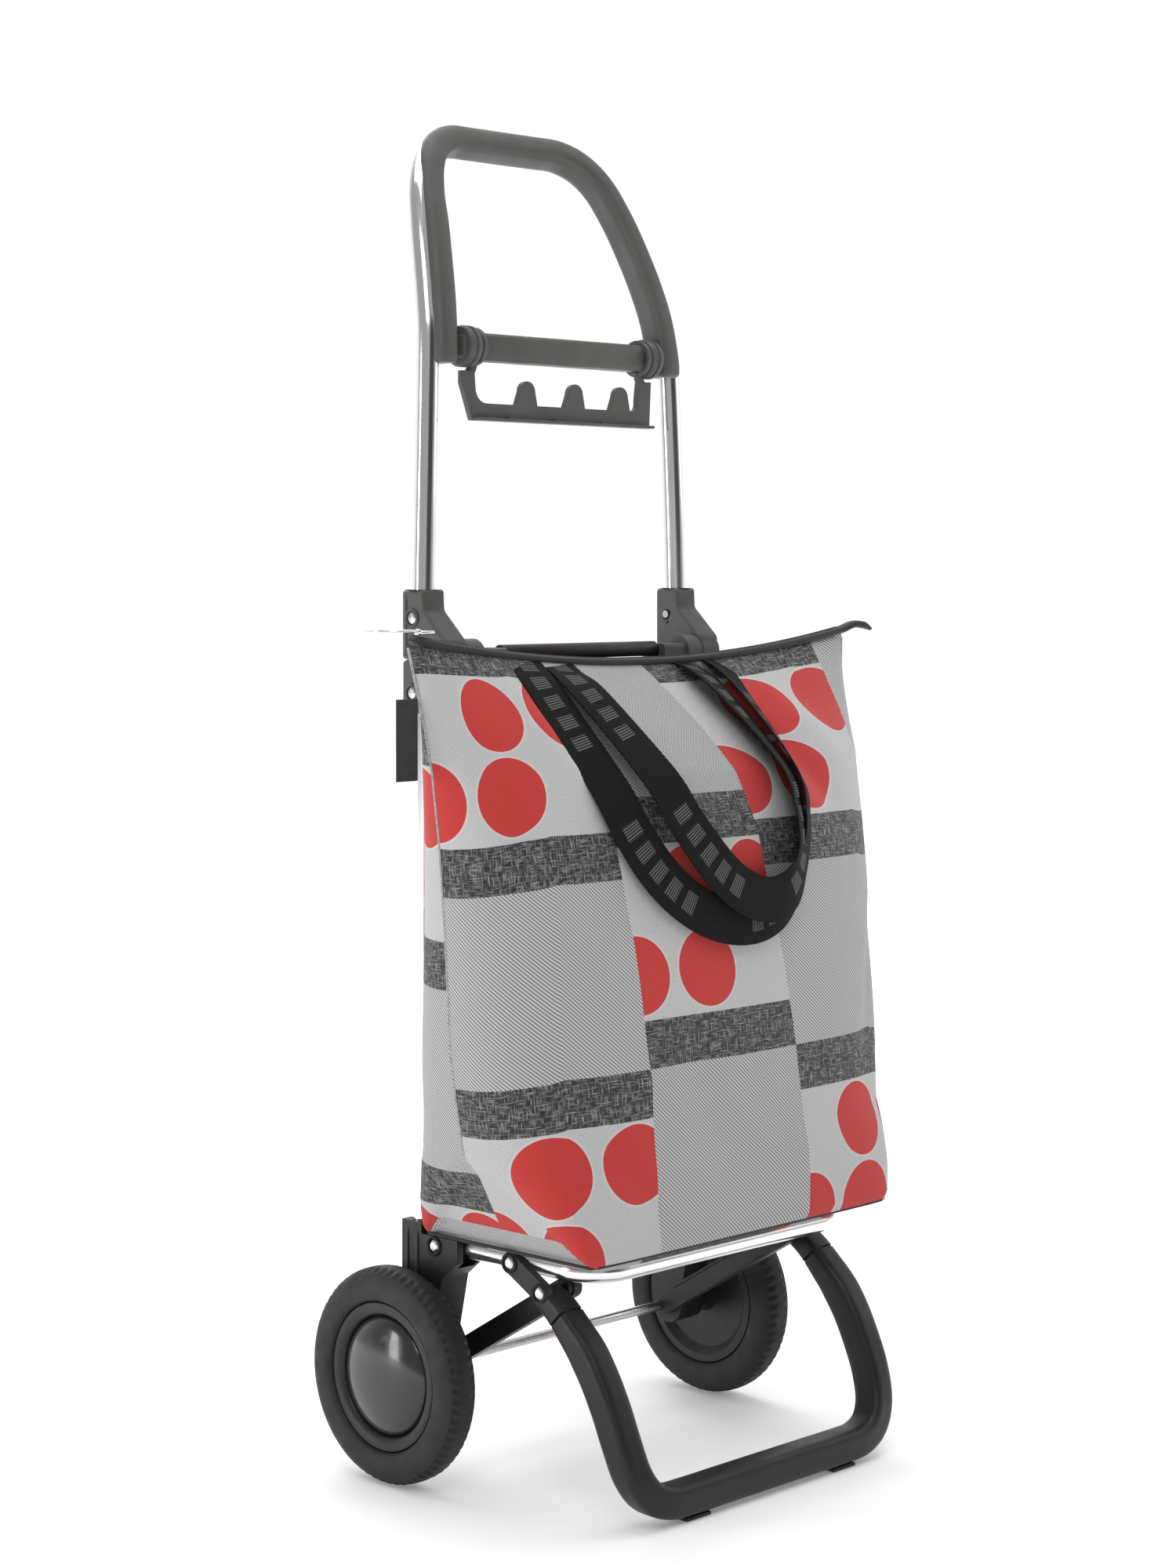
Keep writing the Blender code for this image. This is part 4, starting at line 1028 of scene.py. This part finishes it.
def strip_with_uv(name, path, outward, width, thick, mat, body, *nodes):
    """A webbing strip along path. Its UVs run across from its middle and along, in metres."""
    bm = bmesh.new()
    uv = bm.loops.layers.uv.new("weave")
    section = rounded_section(width / 2, thick / 2, 9.0, 28)
    rows = sweep(bm, path, lambda i: section, lambda i: outward[i])
    run = [0.0]
    for a, b in zip(path, path[1:]):
        run.append(run[-1] + (b - a).length)
    place = {}
    for i, row in enumerate(rows):
        for vert, (u, _) in zip(row, section):
            place[vert] = (u, run[i])
    for face in bm.faces:
        for loop in face.loops:
            loop[uv].uv = place[loop.vert]
    return put(name, bm, mat, body, *nodes, smooth_angle=1.0)


def surface_normal(x, z):
    """Outward direction of the front panel, softened so that the webbing doesn't twist sharply."""
    step = 0.012
    slope_x = (bag_front(x + step, z) - bag_front(x - step, z)) / (2 * step)
    slope_z = (bag_front(x, z + step) - bag_front(x, z - step)) / (2 * step)
    return Vector((slope_x, -1.0, 0.7 * slope_z)).normalized()


STRAP_W = 0.035
STRAP_T = 0.0017
# each strap hangs in a loop down the bag's front: x of its two roots, its lowest point (x, z), how far it
# stands off the cloth, and how much its rising half turns away
STRAP_LOOPS = {
    "strap_front": (-0.098, 0.050, (0.025, 0.446), 0.016, 0.50),
    "strap_rear": (-0.134, 0.084, (0.004, 0.430), 0.008, 0.62),
}
LOOP_TOP_Z = 0.606
LOOP_POINTS = 15


def loop_route(left, right, lowest):
    """x, z from below the left root, round the lowest point, to below the right root."""
    middle = (left + right) / 2
    route = []
    for k in range(LOOP_POINTS):
        angle = math.pi * k / (LOOP_POINTS - 1)
        depth = max(0.0, math.sin(angle)) ** 0.65
        x = middle + (lowest[0] - middle) * depth - (right - left) / 2 * math.cos(angle)
        route.append((x, LOOP_TOP_Z - (LOOP_TOP_Z - lowest[1]) * depth))
    return route


def straps():
    for node, (start_x, end_x, lowest, clear, turn) in STRAP_LOOPS.items():
        route = loop_route(start_x, end_x, lowest)
        points = [(start_x, ZIP_Y - 0.004, zip_height(start_x) - 0.001)]
        points += [(x, bag_front(x, z) - clear, z) for x, z in route]
        points += [(end_x, ZIP_Y - 0.004, zip_height(end_x) - 0.001)]
        path = smooth_path(points, 10)
        outward = []
        for i, p in enumerate(path):
            along = i / (len(path) - 1)
            rising = ramp(along, 0.48, 0.68) * (1.0 - ramp(along, 0.90, 1.0))
            outward.append(surface_normal(p.x, min(p.z, 0.60)) + Vector((turn * rising, 0.0, 0.0)))
        outward = [sum(outward[max(0, i - 5):i + 6], Vector()) for i in range(len(outward))]
        strap = strip_with_uv(f"{node}_webbing", path, outward, STRAP_W, STRAP_T, WEBBING, "lower_frame", node)
        flatten_with_handle(strap)


def zip_path():
    points = []
    for k in range(33):
        x = -ZIP_HALF + 0.004 + (2 * ZIP_HALF - 0.004) * k / 32
        points.append((x, ZIP_Y, zip_height(x) + 0.0030))
    points += [(0.262, ZIP_Y - 0.002, 0.6530), (0.273, ZIP_Y - 0.004, 0.6525),
               (0.2812, ZIP_Y - 0.006, 0.6490)]
    return smooth_path(points, 3)


def zip_and_slider():
    path = zip_path()
    last = len(path) - 1

    def section_at(i):
        share = min(1.0, 0.45 + 0.2 * min(i, last - i))
        return rounded_section(0.0058 * share, 0.0030 * share, 2.6, 24)
    bm = bmesh.new()
    sweep(bm, path, section_at, lambda i: Vector((0.0, 0.0, 1.0)))
    flatten_with_handle(put("zip_tape_finish", bm, TAPE, "lower_frame", "zip_tape"))
    bm = bmesh.new()
    pitch = 0.0026
    travelled = 0.0
    for a, b in zip(path, path[1:]):
        span = (b - a).length
        travelled += span
        while travelled > pitch:
            travelled -= pitch
            centre = b - (b - a).normalized() * travelled + Vector((0.0, 0.0, 0.0030))
            if abs(centre.x) < ZIP_HALF - 0.006:
                tooth(bm, centre)
    flatten_with_handle(put("zip_teeth", bm, TEETH, "lower_frame"))
    flatten_with_handle(rounded_copy("zip_slider", 0.0006, STEEL, "zip_slider"))
    puller_ring()


def tooth(bm, centre):
    """One tooth of the closed zip: a small block with its top edges cut back."""
    made = bmesh.ops.create_cube(bm, size=1.0)["verts"]
    bmesh.ops.scale(bm, vec=(0.0015, 0.0052, 0.0011), verts=made)
    for vert in made:
        if vert.co.z > 0:
            vert.co.y *= 0.72
            vert.co.x *= 0.75
    bmesh.ops.translate(bm, vec=centre, verts=made)


def puller_ring():
    """Split ring: two turns of wire that lie on each other and spring apart where they start."""
    lo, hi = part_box("puller_ring")
    centre = Vector(((lo.x + hi.x) / 2, (lo.y + hi.y) / 2 - AXLE_Y, (lo.z + hi.z) / 2))
    wire = 0.00058
    r = (hi.x - lo.x) / 2 - wire
    turns = 1.97
    steps = 200
    path = []
    for k in range(steps + 1):
        t = k / steps
        angle = 2 * math.pi * turns * t
        height = (t - 0.5) * (hi.z - lo.z - 2 * wire)
        path.append(centre + Vector((r * math.cos(angle), r * math.sin(angle), height)))
    ring = round_bar("split_ring", path, wire, STEEL, "puller_ring", "puller_ring", flat=(0.0, 0.0, 1.0))
    flatten_with_handle(ring)


def label():
    """Folded black loop label with a woven border, and no lettering."""
    lo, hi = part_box("bag_label")
    y = (lo.y + hi.y) / 2 - AXLE_Y
    parts = [(lo.z, hi.z, lo.x, hi.x, 0.0010)]
    for z in (lo.z + 0.003, hi.z - 0.0045):
        parts.append((z, z + 0.0015, lo.x + 0.002, hi.x - 0.001, 0.0014))
    bm = bmesh.new()
    for z_low, z_high, x_low, x_high, thick in parts:
        made = bmesh.ops.create_cube(bm, size=1.0)["verts"]
        bmesh.ops.scale(bm, vec=(x_high - x_low, thick, z_high - z_low), verts=made)
        bmesh.ops.translate(bm, vec=((x_low + x_high) / 2, y, (z_low + z_high) / 2), verts=made)
    obj = put("seam_label", bm, TAPE, "lower_frame", "bag_label")
    soften(obj, 0.0003)
    flatten_with_handle(obj)


# ------------------------------------------------------------------ studio
VIEW_ALONG = (0.7187, 0.6953, 0.0)      # the camera's level direction
LOOK_AT = Vector((0.0, 0.0, 0.5))       # what the lights point at


def studio():
    bpy.ops.mesh.primitive_plane_add(size=14.0, location=(0.0, 0.0, -0.0005))
    floor = bpy.context.object
    floor.name = "studio_floor"
    floor_mat = new_material("studio_floor", (0.90, 0.90, 0.91), 0.7)
    floor.data.materials.append(floor_mat)
    reach = vector_value(floor_mat, "LENGTH", object_coords(floor_mat))
    glow = ranged(floor_mat, reach, 0.16, 0.80, 0.5, 1.5)
    surface(floor_mat, Emission_Color=(1.0, 1.0, 1.0, 1.0), Emission_Strength=glow)
    bpy.context.scene.view_settings.view_transform = "Standard"
    backdrop()
    for name, place, size, power in (("key", (-1.6, -1.5, 2.4), (1.2, 1.2), 20.0),
                                     ("fill", (2.1, -1.3, 1.5), (1.2, 1.4), 5.0),
                                     ("rim", (0.6, 2.0, 2.0), (1.4, 1.4), 18.0),
                                     ("overhead", (0.2, 0.1, 3.0), (2.4, 2.4), 42.0),
                                     ("upright", (-2.0, 1.0, 0.6), (0.4, 1.1), 12.0)):
        data = bpy.data.lights.new(name, "AREA")
        data.shape = "RECTANGLE"
        data.energy = power
        data.size, data.size_y = size
        lamp = bpy.data.objects.new(name, data)
        bpy.context.scene.collection.objects.link(lamp)
        lamp.location = place
        lamp.rotation_euler = (LOOK_AT - Vector(place)).to_track_quat("-Z", "Y").to_euler()


def toward(world, direction, start, end):
    """How far the world's direction lies towards another: 0 at start, 1 at end, as cosines."""
    heading = add_node(world, "ShaderNodeTexCoord").outputs["Generated"]
    return ranged(world, vector_value(world, "DOT_PRODUCT", heading, direction), 0.0, 1.0, start, end)


def backdrop():
    """White behind the trolley, a dim room in front, and a dark doorway straight ahead of it."""
    world = bpy.data.worlds.new("studio")
    bpy.context.scene.world = world
    world.use_nodes = True
    behind = toward(world, VIEW_ALONG, 0.0, 0.5)
    ahead = toward(world, (0.0, -1.0, 0.0), 0.86, 0.94)
    open_room = math_node(world, "ADD", math_node(world, "MULTIPLY", behind, 0.66), 0.36)
    outside_doorway = math_node(world, "SUBTRACT", 1.0, math_node(world, "MULTIPLY", ahead, 0.85))
    background = world.node_tree.nodes["Background"]
    background.inputs["Color"].default_value = (1.0, 1.0, 1.0, 1.0)
    feed(world, background.inputs["Strength"], math_node(world, "MULTIPLY", open_room, outside_doorway))


def camera():
    data = bpy.data.cameras.new("camera")
    data.lens = 68.98
    data.shift_y = -0.1363
    obj = bpy.data.objects.new("camera", data)
    obj.location = (-1.7334, -1.7099 + AXLE_Y, 0.6990)
    obj.rotation_euler = (math.radians(90.0), 0.0, math.radians(-45.94))
    bpy.context.scene.collection.objects.link(obj)
    bpy.context.scene.camera = obj


camera()
studio()
handle()
lower_frame()
wheels()
tray()
foot()
bag_body()
seams()
straps()
zip_and_slider()
label()
